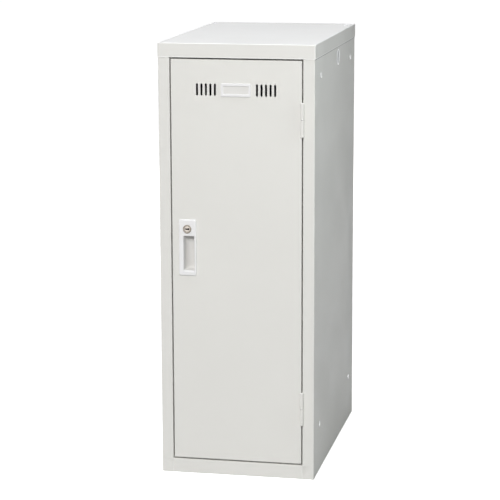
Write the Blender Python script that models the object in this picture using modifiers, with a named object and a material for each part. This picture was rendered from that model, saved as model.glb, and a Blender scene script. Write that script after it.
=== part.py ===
"""Personal mini locker: a one-door cabinet of folded steel with a recessed handle and a cam lock.

Lengths are metres, +Z is up and the door faces -Y. The origin lies on the floor, under the
middle of the whole object's box. Each piece is a function below its own sizes.
"""

import math

import bmesh
import bpy
from mathutils import Matrix, Vector

for item in list(bpy.data.objects):
    bpy.data.objects.remove(item, do_unlink=True)

# Cabinet
cabinet_width = 0.317
cabinet_depth = 0.515
cabinet_height = 0.880
sheet = 0.0008  # thickness of the steel
fold_inner_radius = 0.0007
fit_gap = 0.0003  # between pieces that touch
overrun = 0.003  # how far a cutter passes the face that it opens

# Door opening and its frame
stile_width = 0.0234  # each side of the door
plinth_height = 0.029
cap_height = 0.0285
door_gap = 0.0025  # round the door
jamb_depth = 0.020
stop_width = 0.014  # lip that the door closes against

# Door
door_stop_gap = 0.002  # from the door's back to the stop
door_rim_width = 0.012

# Door hinges
knuckle_radius = 0.00375
knuckle_length = 0.034
knuckle_inset = 0.00025  # how far a knuckle dips behind the frame's face
knuckle_gap = 0.0004
hinge_end_distance = 0.1163  # from the door's top and bottom to a hinge's middle

# Roundness and folds
fold_steps = 3
round_steps = 24
small_round_steps = 16
round_profile = 0.5  # a bevel's profile that is an arc
smooth_angle = math.radians(40)  # edges sharper than this stay crisp
weld = 0.00001

fold_radius = fold_inner_radius + sheet
cap_step = sheet + fit_gap  # the cap stands this far outside the cabinet
knuckle_offset = knuckle_radius - knuckle_inset  # of the pin, in front of the frame's face
hinge_proud = knuckle_offset + knuckle_radius
front = (hinge_proud + cap_step - cabinet_depth) / 2  # y of the frame's face
rear = front + cabinet_depth - 2 * cap_step
side_x = cabinet_width / 2 - cap_step  # outer face of a side panel
side_inner_x = side_x - sheet
panel_top = cabinet_height - cap_step
opening_x = side_x - stile_width
opening_top = cabinet_height - cap_height
stop_x = opening_x - stop_width
stop_y = front + jamb_depth
door_depth = jamb_depth - door_stop_gap
door_x = opening_x - door_gap
door_bottom = plinth_height + door_gap
door_top = opening_top - door_gap
door_height = door_top - door_bottom

finishes = {
    # name: (colour, roughness, metallic)
    "body_paint": ((0.735, 0.730, 0.690), 0.42, 0.0),
    "door_paint": ((0.745, 0.745, 0.705), 0.42, 0.0),
    "white_plastic": ((0.860, 0.860, 0.870), 0.35, 0.0),
    "grey_plastic": ((0.420, 0.420, 0.410), 0.50, 0.0),
    "black_rubber": ((0.030, 0.030, 0.030), 0.80, 0.0),
    "card": ((0.740, 0.735, 0.715), 0.75, 0.0),
    "nickel": ((0.560, 0.510, 0.455), 0.30, 1.0),
    "zinc": ((0.600, 0.600, 0.590), 0.38, 1.0),
    "chrome_tube": ((0.720, 0.720, 0.730), 0.18, 1.0),
    "magnet": ((0.070, 0.070, 0.075), 0.55, 0.0),
}


def new_collection(name):
    collection = bpy.data.collections.new(name)
    bpy.context.scene.collection.children.link(collection)
    return collection


pieces = new_collection("personal_mini_locker")
cutters = new_collection("cutters")


def material_of(name, finish):
    """A material of the piece's own, from the table of finishes."""
    colour, roughness, metallic = finishes[finish]
    material = bpy.data.materials.new(name + "_" + finish)
    material.use_nodes = True
    shader = material.node_tree.nodes["Principled BSDF"]
    shader.inputs["Base Color"].default_value = (*colour, 1)
    shader.inputs["Roughness"].default_value = roughness
    shader.inputs["Metallic"].default_value = metallic
    return material


def add(name, shape, place, finish=None):
    """Puts a bmesh into the scene: a piece when it has a finish, and a cutter when it has none."""
    mesh = bpy.data.meshes.new(name)
    shape.to_mesh(mesh)
    shape.free()
    thing = bpy.data.objects.new(name, mesh)
    thing.location = place
    if finish:
        pieces.objects.link(thing)
        mesh.materials.append(material_of(name, finish))
    else:
        cutters.objects.link(thing)
        thing.hide_render = True
        thing.display_type = "WIRE"
    return thing


def block(name, low, high, finish=None):
    """A box between two corners."""
    low = Vector(low)
    high = Vector(high)
    shape = bmesh.new()
    bmesh.ops.create_cube(shape, size=1, matrix=Matrix.Diagonal((*(high - low), 1)))
    return add(name, shape, (low + high) / 2, finish)


def bevel_round(shape, edges, radius, steps):
    """Turns a bmesh's edges into quarter rounds."""
    bmesh.ops.bevel(
        shape, geom=edges, offset=radius, segments=steps, profile=round_profile, affect="EDGES"
    )


def soft_block(name, low, high, across, radius, finish=None, steps=fold_steps):
    """A box whose edges along one axis are rounded; across is that axis, 0 to 2."""
    low = Vector(low)
    high = Vector(high)
    shape = bmesh.new()
    bmesh.ops.create_cube(shape, size=1, matrix=Matrix.Diagonal((*(high - low), 1)))
    edges = [
        edge
        for edge in shape.edges
        if round(abs((edge.verts[0].co - edge.verts[1].co).normalized()[across]))
    ]
    bevel_round(shape, edges, radius, steps)
    return add(name, shape, (low + high) / 2, finish)


def rod(name, centre, radius, length, axis, finish=None, steps=round_steps, stretch=0):
    """A round bar along an axis; stretch pulls its halves apart sideways into a slot's shape."""
    shape = bmesh.new()
    half_turn = Matrix.Rotation(math.pi / steps, 4, "Z")
    bmesh.ops.create_cone(
        shape,
        cap_ends=True,
        segments=steps,
        radius1=radius,
        radius2=radius,
        depth=length,
        matrix=half_turn,
    )
    for point in shape.verts:
        point.co.x += math.copysign(stretch / 2, point.co.x)
    thing = add(name, shape, centre, finish)
    thing.rotation_euler = Vector(axis).to_track_quat("Z", "Y").to_euler()
    thing.data.shade_smooth()
    thing.data.set_sharp_from_angle(angle=smooth_angle)
    return thing


def turned(name, profile, place, axis, finish=None, steps=round_steps):
    """A solid of revolution. The profile is (radius, height) down its outer side, and a ring's
    profile closes on itself."""
    shape = bmesh.new()
    points = [shape.verts.new((radius, 0, height)) for radius, height in profile]
    for first, second in zip(points, points[1:]):
        shape.edges.new((first, second))
    if profile[0][0] > 0:
        shape.edges.new((points[-1], points[0]))
    thing = add(name, shape, place, finish)
    thing.rotation_euler = Vector(axis).to_track_quat("Z", "Y").to_euler()
    turn = thing.modifiers.new("Turn", "SCREW")
    turn.steps = steps
    turn.render_steps = steps
    turn.use_merge_vertices = True
    turn.merge_threshold = weld
    return thing


def thicken(thing):
    """Gives a sheet's outer surface its thickness, inwards."""
    wall = thing.modifiers.new("Sheet", "SOLIDIFY")
    wall.thickness = sheet
    wall.offset = -1
    wall.use_even_offset = True


def folded_path(points):
    """The path with an arc at each right-angled fold. The steel lies on the path's left."""
    path = [Vector(points[0])]
    for before, corner, after in zip(points, points[1:], points[2:]):
        arriving = (Vector(corner) - Vector(before)).normalized()
        leaving = (Vector(after) - Vector(corner)).normalized()
        turns_left = arriving.cross(leaving) > 0
        radius = fold_radius if turns_left else fold_inner_radius
        centre = Vector(corner) + (leaving - arriving) * radius
        for step in range(fold_steps + 1):
            angle = math.pi / 2 * step / fold_steps
            path.append(
                centre + radius * (arriving * math.sin(angle) - leaving * math.cos(angle))
            )
    path.append(Vector(points[-1]))
    return path


# Which way a folded section's own x, y and z point: z is the way that it runs.
runs_along = {
    "X": Matrix(((0, 0, 1), (1, 0, 0), (0, 1, 0))),  # section drawn in (y, z)
    "Y": Matrix(((0, 1, 0), (0, 0, 1), (1, 0, 0))),  # section drawn in (z, x)
    "Z": Matrix.Identity(3),  # section drawn in (x, y)
}


def folded_section(name, points, axis, start, end, finish=None):
    """Sheet folded along a path and run straight from start to end along an axis."""
    path = folded_path(points)
    shape = bmesh.new()
    row = [shape.verts.new((point.x, point.y, 0)) for point in path]
    edges = [shape.edges.new(pair) for pair in zip(row, row[1:])]
    swept = bmesh.ops.extrude_edge_only(shape, edges=edges)
    moved = [part for part in swept["geom"] if isinstance(part, bmesh.types.BMVert)]
    bmesh.ops.translate(shape, verts=moved, vec=(0, 0, end - start))
    shape.normal_update()
    along = path[1] - path[0]
    outward = Vector((along.y, -along.x, 0))
    if row[0].link_faces[0].normal.dot(outward) < 0:
        bmesh.ops.reverse_faces(shape, faces=shape.faces)
    thing = add(name, shape, runs_along[axis] @ Vector((0, 0, start)), finish)
    thing.rotation_euler = runs_along[axis].to_euler()
    thicken(thing)
    return thing


def folded_box(name, low, high, open_side, rim, finish):
    """A box folded from sheet and open on one side, where a flange of width rim may turn in."""
    low = Vector(low)
    high = Vector(high)
    shape = bmesh.new()
    bmesh.ops.create_cube(shape, size=1, matrix=Matrix.Diagonal((*(high - low), 1)))
    shape.normal_update()
    lid = max(shape.faces, key=lambda face: face.normal.dot(Vector(open_side)))
    if rim:
        bmesh.ops.inset_region(shape, faces=[lid], thickness=rim)
    shape.faces.remove(lid)
    thing = add(name, shape, (low + high) / 2, finish)
    fold = thing.modifiers.new("Folds", "BEVEL")
    fold.width = fold_radius
    fold.segments = fold_steps
    fold.limit_method = "ANGLE"
    thicken(thing)
    return thing


def combine(thing, other, operation):
    change = thing.modifiers.new(other.name, "BOOLEAN")
    change.operation = operation
    change.solver = "EXACT"
    change.object = other


def cut(thing, *tools):
    for tool in tools:
        combine(thing, tool, "DIFFERENCE")


def join(thing, *tools):
    for tool in tools:
        combine(thing, tool, "UNION")


def round_edges(thing, radius, steps=2):
    edge = thing.modifiers.new("Edges", "BEVEL")
    edge.width = radius
    edge.segments = steps
    edge.limit_method = "ANGLE"


# Joints: an empty on each axis, which its moving pieces hang from
def joint_empty(name, place, carrier=None):
    empty = bpy.data.objects.new(name, None)
    empty.empty_display_type = "ARROWS"
    pieces.objects.link(empty)
    empty.location = place
    if carrier:
        empty.location = Vector(place) - carrier.location
        empty.parent = carrier
    return empty


def hang(joint, joint_place, *things):
    """Parents pieces to a joint's empty with their places kept, and what shapes them as well."""
    for thing in things:
        tools = [change.object for change in thing.modifiers if change.type == "BOOLEAN"]
        for member in [thing, *tools]:
            member.location = member.location - Vector(joint_place)
            member.parent = joint


hinge_place = (opening_x - door_gap / 2, front - knuckle_offset, 0)
door_joint = joint_empty("door_axis", hinge_place)

# Snap-in plugs
plug_head_height = 0.0007
plug_shank_radius = 0.0045
plug_lip = 0.0016  # how far the head reaches past the shank
plug_length = 0.006
plug_barb = 0.0006  # how far the barb reaches past its hole
cable_plug_shank_radius = 0.0155
cable_plug_lip = 0.0020
cable_plug_rim = 0.0025
cable_plug_wall = 0.0015
cable_plug_dish = 0.0004  # the middle lies this far under the rim

plug_head_radius = plug_shank_radius + plug_lip
cable_plug_radius = cable_plug_shank_radius + cable_plug_lip

# Places of the plugs
side_plug_front_distance = 0.067
side_plug_rear_distance = 0.065
side_plug_top_distance = 0.0665
side_plug_bottom_distance = 0.099
cable_plug_depth_share = 0.553
cable_plug_cap_gap = 0.0036  # from the plug's rim up to the cap's edge
top_plug_side_distance = 0.0125
top_plug_rear_distance = 0.043


def snap_plug(name, place, outward):
    """A small closed plug with a barb behind the sheet. Its place is on the sheet's outer face."""
    head_top = fit_gap + plug_head_height
    behind = -sheet - fit_gap
    barb_radius = plug_shank_radius + fit_gap + plug_barb
    profile = [
        (0, head_top),
        (plug_head_radius - plug_head_height / 2, head_top),
        (plug_head_radius, head_top - plug_head_height / 2),
        (plug_head_radius, fit_gap),
        (plug_shank_radius, fit_gap),
        (plug_shank_radius, behind),
        (barb_radius, behind),
        (plug_shank_radius - plug_barb, -plug_length),
        (0, -plug_length),
    ]
    return turned(name, profile, place, outward, "white_plastic", small_round_steps)


def cable_plug(name, place, outward):
    """The wide plug that closes the cable hole: a raised rim round a dished, hollow cup."""
    head_top = fit_gap + plug_head_height
    dish = head_top - cable_plug_dish
    behind = -sheet - fit_gap
    inner_radius = cable_plug_shank_radius - cable_plug_wall
    profile = [
        (0, dish),
        (cable_plug_radius - cable_plug_rim, dish),
        (cable_plug_radius - cable_plug_rim, head_top),
        (cable_plug_radius - plug_head_height / 2, head_top),
        (cable_plug_radius, head_top - plug_head_height / 2),
        (cable_plug_radius, fit_gap),
        (cable_plug_shank_radius, fit_gap),
        (cable_plug_shank_radius, behind),
        (cable_plug_shank_radius + plug_barb + fit_gap, behind),
        (cable_plug_shank_radius - plug_barb, -plug_length),
        (inner_radius, -plug_length),
        (inner_radius, dish - cable_plug_wall),
        (0, dish - cable_plug_wall),
    ]
    return turned(name, profile, place, outward, "white_plastic")


def side_plug_places():
    """Depth and height of the four small plugs on each side, with the name of each place."""
    front_y = front + side_plug_front_distance
    rear_y = rear - side_plug_rear_distance
    upper_z = cabinet_height - side_plug_top_distance
    lower_z = side_plug_bottom_distance
    return {
        "front_upper": (front_y, upper_z),
        "rear_upper": (rear_y, upper_z),
        "front_lower": (front_y, lower_z),
        "rear_lower": (rear_y, lower_z),
    }


# Side panels
rear_flange = 0.015
base_flange = 0.018
head_flange = 0.012
bumper_end_distance = 0.060
bumper_hole_radius = 0.0018
catch_height_share = 0.671
catch_length = 0.036
catch_width = 0.010
catch_ear_length = 0.010
catch_hole_radius = 0.0017

cable_plug_y = front + cable_plug_depth_share * (rear - front)
cable_plug_z = opening_top - cable_plug_cap_gap - cable_plug_radius
top_plug_x = cabinet_width / 2 - top_plug_side_distance
top_plug_y = rear + cap_step - top_plug_rear_distance
stop_middle_x = opening_x - stop_width / 2
catch_z = door_bottom + catch_height_share * door_height
bumper_heights = {
    "lower": plinth_height + bumper_end_distance,
    "upper": opening_top - bumper_end_distance,
}
catch_screw_pitch = catch_length + catch_ear_length
catch_screw_heights = {
    "lower": catch_z - catch_screw_pitch / 2,
    "upper": catch_z + catch_screw_pitch / 2,
}


def side_panel(name, side):
    """One sheet folded round from the door stop, past the jamb and stile, to the rear flange,
    with a flange turned in at its foot and its head. side is 1 for right and -1 for left."""
    path = [
        (side * stop_x, stop_y),
        (side * opening_x, stop_y),
        (side * opening_x, front),
        (side * side_x, front),
        (side * side_x, rear),
        (side * (side_x - rear_flange), rear),
    ]
    if side < 0:
        path.reverse()
    panel = folded_section(name, path, "Z", 0, panel_top, "body_paint")
    inside_y = (stop_y + 2 * sheet + fit_gap, rear - 3 * sheet - 2 * fit_gap)
    middle_x = side_inner_x + sheet / 2
    for place, reach, level in (("foot", base_flange, 0), ("head", head_flange, panel_top - sheet)):
        across = sorted((side * middle_x, side * (side_x - reach)))
        flange = block(
            name + "_" + place,
            (across[0], inside_y[0], level),
            (across[1], inside_y[1], level + sheet),
        )
        join(panel, flange)
    hole_depth = 2 * (sheet + overrun)
    for place, (y, z) in side_plug_places().items():
        cut(
            panel,
            rod(
                name + "_hole_" + place,
                (side * side_x, y, z),
                plug_shank_radius + fit_gap,
                hole_depth,
                (1, 0, 0),
                steps=small_round_steps,
            ),
        )
    head_hole = rod(
        name + "_head_hole",
        (side * top_plug_x, top_plug_y, panel_top),
        plug_shank_radius + plug_barb + 2 * fit_gap,
        hole_depth,
        (0, 0, 1),
        steps=small_round_steps,
    )
    cable_hole = rod(
        name + "_cable_hole",
        (side * side_x, cable_plug_y, cable_plug_z),
        cable_plug_shank_radius + fit_gap,
        hole_depth,
        (1, 0, 0),
    )
    cut(panel, head_hole, cable_hole)
    return panel


def side_plugs():
    for side, side_name in ((1, "right"), (-1, "left")):
        for place, (y, z) in side_plug_places().items():
            snap_plug("side_plug_" + side_name + "_" + place, (side * side_x, y, z), (side, 0, 0))
        cable_plug(
            "cable_hole_plug_" + side_name, (side * side_x, cable_plug_y, cable_plug_z), (side, 0, 0)
        )


def stop_lip_cuts(panel):
    """The notch and screw holes of the magnet catch, and the bumpers' holes, in the left stop."""
    lip_depth = 2 * (sheet + overrun)
    notch_half = catch_length / 2 + fit_gap
    notch = block(
        "catch_notch",
        (-stop_middle_x - catch_width / 2 - fit_gap, stop_y - overrun, catch_z - notch_half),
        (-stop_x + overrun, stop_y + sheet + overrun, catch_z + notch_half),
    )
    cut(panel, notch)
    holes = [(place, z, bumper_hole_radius) for place, z in bumper_heights.items()]
    holes += [("catch_" + place, z, catch_hole_radius) for place, z in catch_screw_heights.items()]
    for place, z, radius in holes:
        hole = rod(
            "stop_hole_" + place,
            (-stop_middle_x, stop_y, z),
            radius,
            lip_depth,
            (0, 1, 0),
            steps=small_round_steps,
        )
        cut(panel, hole)


# Top cap
def top_cap():
    """The lid: a shallow box turned down over the cabinet, a sheet's width proud of it."""
    cap = folded_box(
        "top_cap",
        (-cabinet_width / 2, front - cap_step, opening_top),
        (cabinet_width / 2, front - cap_step + cabinet_depth, cabinet_height),
        (0, 0, -1),
        0,
        "body_paint",
    )
    for side, side_name in ((1, "right"), (-1, "left")):
        place = (side * top_plug_x, top_plug_y, cabinet_height)
        hole = rod(
            "top_hole_" + side_name,
            place,
            plug_shank_radius + fit_gap,
            2 * (sheet + overrun),
            (0, 0, 1),
            steps=small_round_steps,
        )
        cut(cap, hole)
        snap_plug("top_plug_" + side_name, place, (0, 0, 1))
    return cap


# Back panel
def back_panel():
    x = side_inner_x - fit_gap
    y = rear - sheet - fit_gap
    return block(
        "back_panel",
        (-x, y - sheet, 0),
        (x, y, panel_top - sheet - fit_gap),
        "body_paint",
    )


back_inner_y = rear - 2 * sheet - fit_gap  # the back panel's face towards the inside

# Rails under and over the door
front_rail_foot = 0.015
rail_stop_height = 0.014
header_top_gap = 0.002


def rail_notches(rail, name, low_z, high_z):
    """Clears the side panels' stops from the ends of a rail's return and stop."""
    for side, side_name in ((1, "right"), (-1, "left")):
        across = sorted((side * (stop_x - fit_gap), side * (opening_x + overrun)))
        notch = block(
            name + "_notch_" + side_name,
            (across[0], stop_y - fit_gap, low_z - overrun),
            (across[1], stop_y + sheet + overrun, high_z + overrun),
        )
        cut(rail, notch)


def front_rail():
    """The plinth: a foot, the face under the door, the sill and the stop behind the door."""
    path = [
        (stop_y, plinth_height + rail_stop_height),
        (stop_y, plinth_height),
        (front, plinth_height),
        (front, 0),
        (front + front_rail_foot, 0),
    ]
    x = opening_x - fit_gap
    rail = folded_section("front_rail", path, "X", -x, x, "body_paint")
    rail_notches(rail, "front_rail", plinth_height - sheet, plinth_height + rail_stop_height)
    return rail


def top_rail():
    """The header behind the cap: a face, the underside over the door and the stop."""
    path = [
        (front, panel_top - header_top_gap),
        (front, opening_top),
        (stop_y, opening_top),
        (stop_y, opening_top - rail_stop_height),
    ]
    x = opening_x - fit_gap
    rail = folded_section("top_rail", path, "X", -x, x, "body_paint")
    rail_notches(rail, "top_rail", opening_top - rail_stop_height, opening_top + sheet)
    return rail


# Floor pan
floor_front_flange = 0.012
floor_side_flange = 0.020


def floor_pan():
    """The raised floor: a flange up behind the sill, and flanges down at the back and sides."""
    x = side_inner_x - fit_gap
    y = stop_y + 2 * sheet + fit_gap
    end_y = back_inner_y - fit_gap
    path = [
        (end_y, plinth_height - floor_side_flange),
        (end_y, plinth_height),
        (y, plinth_height),
        (y, plinth_height + floor_front_flange),
    ]
    pan = folded_section("floor_pan", path, "X", -x, x, "body_paint")
    under = plinth_height - sheet
    for side, side_name in ((1, "right"), (-1, "left")):
        across = sorted((side * x, side * (x - sheet)))
        flange = block(
            "floor_flange_" + side_name,
            (across[0], y + fold_radius, plinth_height - floor_side_flange),
            (across[1], end_y - fold_radius, under + sheet / 2),
        )
        join(pan, flange)
    return pan


# Shelf and its rails
upper_compartment_height = 0.211
shelf_flange = 0.018
shelf_front_distance = 0.040
shelf_side_gap = 0.0006
shelf_rail_height = 0.014
shelf_rail_width = 0.014

shelf_top = opening_top - upper_compartment_height
shelf_rail_top = shelf_top - shelf_flange - fit_gap


def shelf():
    x = side_inner_x - shelf_side_gap
    return folded_box(
        "shelf",
        (-x, front + shelf_front_distance, shelf_top - shelf_flange),
        (x, back_inner_y - fit_gap, shelf_top),
        (0, 0, -1),
        0,
        "body_paint",
    )


def shelf_rail(name, side):
    """The angle that carries one side of the shelf."""
    wall_x = side_inner_x - fit_gap
    path = [
        (shelf_rail_top, side * (wall_x - shelf_rail_width)),
        (shelf_rail_top, side * wall_x),
        (shelf_rail_top - shelf_rail_height, side * wall_x),
    ]
    if side < 0:
        path.reverse()
    start = front + shelf_front_distance
    return folded_section(name, path, "Y", start, back_inner_y - fit_gap, "body_paint")


# Hanger tube and its sockets
tube_radius = 0.008
tube_wall = 0.001
tube_under_shelf = 0.065
tube_depth_share = 0.495
socket_flange_radius = 0.015
socket_flange_thickness = 0.0012
socket_length = 0.008
socket_wall = 0.0017

tube_z = shelf_top - tube_under_shelf
tube_y = front + tube_depth_share * (rear - front)
socket_face_x = side_inner_x - fit_gap - socket_flange_thickness


def hanger_tube():
    half = socket_face_x - fit_gap
    profile = [
        (tube_radius, half),
        (tube_radius, -half),
        (tube_radius - tube_wall, -half),
        (tube_radius - tube_wall, half),
    ]
    return turned("hanger_tube", profile, (0, tube_y, tube_z), (1, 0, 0), "chrome_tube")


def hanger_socket(name, side):
    """A round flange with a collar that is open at the top, so the tube drops in."""
    bore = tube_radius + fit_gap
    outer = bore + socket_wall
    back = -socket_flange_thickness
    profile = [
        (0, 0),
        (bore, 0),
        (bore, socket_length),
        (outer, socket_length),
        (outer, 0),
        (socket_flange_radius, 0),
        (socket_flange_radius, back),
        (0, back),
    ]
    place = (side * socket_face_x, tube_y, tube_z)
    socket = turned(name, profile, place, (-side, 0, 0), "zinc")
    across = sorted((side * (socket_face_x - socket_length - overrun), side * socket_face_x))
    mouth = block(
        name + "_mouth",
        (across[0], tube_y - bore, tube_z),
        (across[1], tube_y + bore, tube_z + outer + overrun),
    )
    cut(socket, mouth)
    return socket


# Magnet catch and bumpers
catch_depth = 0.0136
catch_ear_thickness = 0.002
catch_door_gap = 0.0004
magnet_width = 0.0064
magnet_length = 0.028
magnet_depth = 0.005
screw_crown_share = 0.6  # of a pan head's radius, flat on top
screw_head_radius = 0.0028
screw_head_height = 0.0014
screw_shank_radius = 0.0014
screw_tip = 0.0036  # how far a catch screw passes the lip
bumper_radius = 0.004
bumper_stem_radius = 0.0015
bumper_stem_length = 0.004

door_back_y = front + door_depth


def magnet_catch():
    """The catch's case behind the left stop, its magnet in the case's front, and two screws."""
    x = -stop_middle_x
    case_front = door_back_y + catch_door_gap
    half = catch_width / 2
    case = block(
        "catch_case",
        (x - half, case_front, catch_z - catch_length / 2),
        (x + half, case_front + catch_depth, catch_z + catch_length / 2),
        "grey_plastic",
    )
    ear_y = stop_y + sheet + fit_gap
    ear_half = catch_length / 2 + catch_ear_length
    ears = block(
        "catch_ears",
        (x - half, ear_y, catch_z - ear_half),
        (x + half, ear_y + catch_ear_thickness, catch_z + ear_half),
    )
    join(case, ears)
    recess = block(
        "catch_recess",
        (x - magnet_width / 2 - fit_gap, case_front - overrun, catch_z - magnet_length / 2 - fit_gap),
        (
            x + magnet_width / 2 + fit_gap,
            case_front + magnet_depth + 2 * fit_gap,
            catch_z + magnet_length / 2 + fit_gap,
        ),
    )
    cut(case, recess)
    block(
        "catch_magnet",
        (x - magnet_width / 2, case_front + fit_gap, catch_z - magnet_length / 2),
        (x + magnet_width / 2, case_front + fit_gap + magnet_depth, catch_z + magnet_length / 2),
        "magnet",
    )
    for place, z in catch_screw_heights.items():
        hole = rod(
            "catch_ear_hole_" + place,
            (x, ear_y, z),
            catch_hole_radius,
            2 * (catch_ear_thickness + overrun),
            (0, 1, 0),
            steps=small_round_steps,
        )
        cut(case, hole)
        pan_screw(
            "catch_screw_" + place,
            (x, stop_y - fit_gap, z),
            (0, -1, 0),
            screw_head_radius,
            screw_head_height,
            screw_shank_radius,
            fit_gap + sheet + screw_tip,
        )


def pan_screw(name, place, outward, head_radius, head_height, shank_radius, length):
    """A pan head screw; its place is under the head."""
    profile = [
        (0, head_height),
        (head_radius * screw_crown_share, head_height),
        (head_radius, head_height / 2),
        (head_radius, 0),
        (shank_radius, 0),
        (shank_radius, -length),
        (0, -length),
    ]
    return turned(name, profile, place, outward, "zinc", small_round_steps)


def door_bumper(place, z):
    """A rubber button on the left stop, with a stem through it."""
    top = stop_y - door_back_y - fit_gap
    profile = [
        (0, top),
        (bumper_radius - fit_gap, top),
        (bumper_radius, top - fit_gap),
        (bumper_radius, fit_gap),
        (bumper_stem_radius, fit_gap),
        (bumper_stem_radius, -bumper_stem_length),
        (0, -bumper_stem_length),
    ]
    name = "door_bumper_" + place
    spot = (-stop_middle_x, stop_y, z)
    return turned(name, profile, spot, (0, -1, 0), "black_rubber", small_round_steps)


# Lift-off hinges: one knuckle on the frame, one on the door, and a blind pin
pin_radius = 0.0020
pin_clearance = 0.0003
knuckle_end = 0.002  # closed end of each knuckle
knuckle_edge = 0.0008
leaf_thickness = 0.0012
leaf_end_gap = 0.002  # from a leaf's end to its knuckle's end
leaf_back_gap = 0.002  # from a leaf's back edge to the door's back

leaf_length = knuckle_length - 2 * leaf_end_gap
leaf_depth = door_depth - leaf_back_gap


def knuckle(name, place, axis):
    """A knuckle with a closed, rounded end; its place is at the middle of the hinge."""
    near = knuckle_gap / 2
    far = near + knuckle_length
    bore = pin_radius + pin_clearance
    profile = [
        (0, far),
        (knuckle_radius - knuckle_edge, far),
        (knuckle_radius, far - knuckle_edge),
        (knuckle_radius, near),
        (bore, near),
        (bore, far - knuckle_end),
        (0, far - knuckle_end),
    ]
    return turned(name, profile, place, axis, "door_paint")


def hinge(place_name, z):
    """Each leaf runs back into the gap beside the door, and is welded to what it carries."""
    x, y, _ = hinge_place
    leaf_start = y + (knuckle_radius + pin_radius + pin_clearance) / 2
    name = "hinge_" + place_name
    middle = (knuckle_gap + knuckle_length) / 2
    door_leaf = knuckle(name + "_door_leaf", (x, y, z), (0, 0, 1))
    door_plate = block(
        name + "_door_plate",
        (door_x + fit_gap, leaf_start, z + middle - leaf_length / 2),
        (door_x + fit_gap + leaf_thickness, front + leaf_depth, z + middle + leaf_length / 2),
    )
    join(door_leaf, door_plate)
    frame_leaf = knuckle(name + "_frame_leaf", (x, y, z), (0, 0, -1))
    frame_plate = block(
        name + "_frame_plate",
        (opening_x - fit_gap - leaf_thickness, leaf_start, z - middle - leaf_length / 2),
        (opening_x - fit_gap, front + leaf_depth, z - middle + leaf_length / 2),
    )
    join(frame_leaf, frame_plate)
    pin_half = knuckle_gap / 2 + knuckle_length - knuckle_end - fit_gap
    pin_profile = [(0, pin_half), (pin_radius, pin_half), (pin_radius, -pin_half), (0, -pin_half)]
    turned(name + "_pin", pin_profile, (x, y, z), (0, 0, 1), "zinc", small_round_steps)
    hang(door_joint, hinge_place, door_leaf)


# Vents in the door
vent_width = 0.004
vent_height = 0.024
vent_pitch = 0.00905
vents_in_group = 5
vent_group_spacing = 0.1206
vent_top_distance = 0.0602


def vent_cutter():
    """One slot, repeated across into a group and again into the second group."""
    radius = vent_width / 2
    slot = rod(
        "vent_slots",
        (0, 0, 0),
        radius / math.cos(math.pi / small_round_steps),
        2 * (sheet + overrun),
        (0, 1, 0),
        steps=small_round_steps,
        stretch=vent_height - vent_width,
    )
    slot.rotation_euler = runs_along["Y"].to_euler()
    group_width = vent_pitch * (vents_in_group - 1)
    slot.location = (
        -vent_group_spacing / 2 - group_width / 2,
        front,
        door_top - vent_top_distance,
    )
    for name, count, step in (
        ("Slots", vents_in_group, vent_pitch),
        ("Groups", 2, vent_group_spacing),
    ):
        repeat = slot.modifiers.new(name, "ARRAY")
        repeat.count = count
        repeat.use_relative_offset = False
        repeat.use_constant_offset = True
        repeat.constant_offset_displace = (0, step, 0)
    return slot


# Handle: a moulded cup with the lock above the finger pocket
bezel_thickness = 0.0032
bezel_corner_radius = 0.004
bezel_edge_radius = 0.0012
bezel_door_edge_distance = 0.0134
handle_height_share = 0.5388  # of the door's height, at the bezel's middle
cup_inset = 0.0027  # the cup is this much smaller than its bezel, all round
cup_depth = 0.0165
cup_corner_radius = 0.003
pocket_width = 0.0223
pocket_height = 0.0702
pocket_depth = 0.0135
pocket_left_margin = 0.0102
pocket_right_margin = 0.0038
pocket_bottom_margin = 0.0112
pocket_lock_distance = 0.0140  # from the pocket's top to the lock's axis
pocket_corner_radius = 0.002
pocket_scoop_radius = 0.009
grip_depth = 0.0055  # how far the pocket runs sideways behind the bezel
grip_lip = 0.0022
grip_end_margin = 0.004
lock_top_margin = 0.0219
lock_wall = 0.0032
lock_room_wall = 0.0015
snap_reach = 0.0011
snap_depth = 0.004
snap_height = 0.009
snap_place_share = 0.30  # of the bezel's height, above and below its middle

bezel_width = pocket_left_margin + pocket_width + pocket_right_margin
bezel_height = pocket_bottom_margin + pocket_height + pocket_lock_distance + lock_top_margin
bezel_left = -door_x + bezel_door_edge_distance
bezel_x = bezel_left + bezel_width / 2
bezel_z = door_bottom + handle_height_share * door_height
bezel_right = bezel_left + bezel_width
bezel_bottom = bezel_z - bezel_height / 2
bezel_top = bezel_z + bezel_height / 2
bezel_front = front - fit_gap - bezel_thickness
cup_back = front + cup_depth
pocket_right = bezel_right - pocket_right_margin
pocket_left = pocket_right - pocket_width
pocket_bottom = bezel_bottom + pocket_bottom_margin
pocket_top = pocket_bottom + pocket_height
lock_x = bezel_x
lock_z = bezel_top - lock_top_margin

# Cam lock
lock_body_radius = 0.0075
lock_lip = 0.0011  # how far the head reaches past the body
lock_head_height = 0.0015
lock_wall_thickness = 0.0012
lock_edge = 0.0005
nut_wall = 0.002
nut_thickness = 0.003
plug_neck_radius = 0.003
plug_neck_tip = 0.0006  # past the cam
cam_stop_gap = 0.001  # from the stop's back to the cam
cam_body_gap = 0.0018  # from the lock's body to the cam
cam_thickness = 0.002
cam_width = 0.010
cam_reach = 0.025  # from the lock's axis to the middle of the cam's round tip
cam_screw_head_radius = 0.0045
cam_screw_head_height = 0.0016
cam_screw_shank_radius = 0.0015
cam_screw_length = 0.006
keyhole_width = 0.0078
keyhole_height = 0.0016
keyhole_round_radius = 0.0015
keyhole_depth = 0.012

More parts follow.
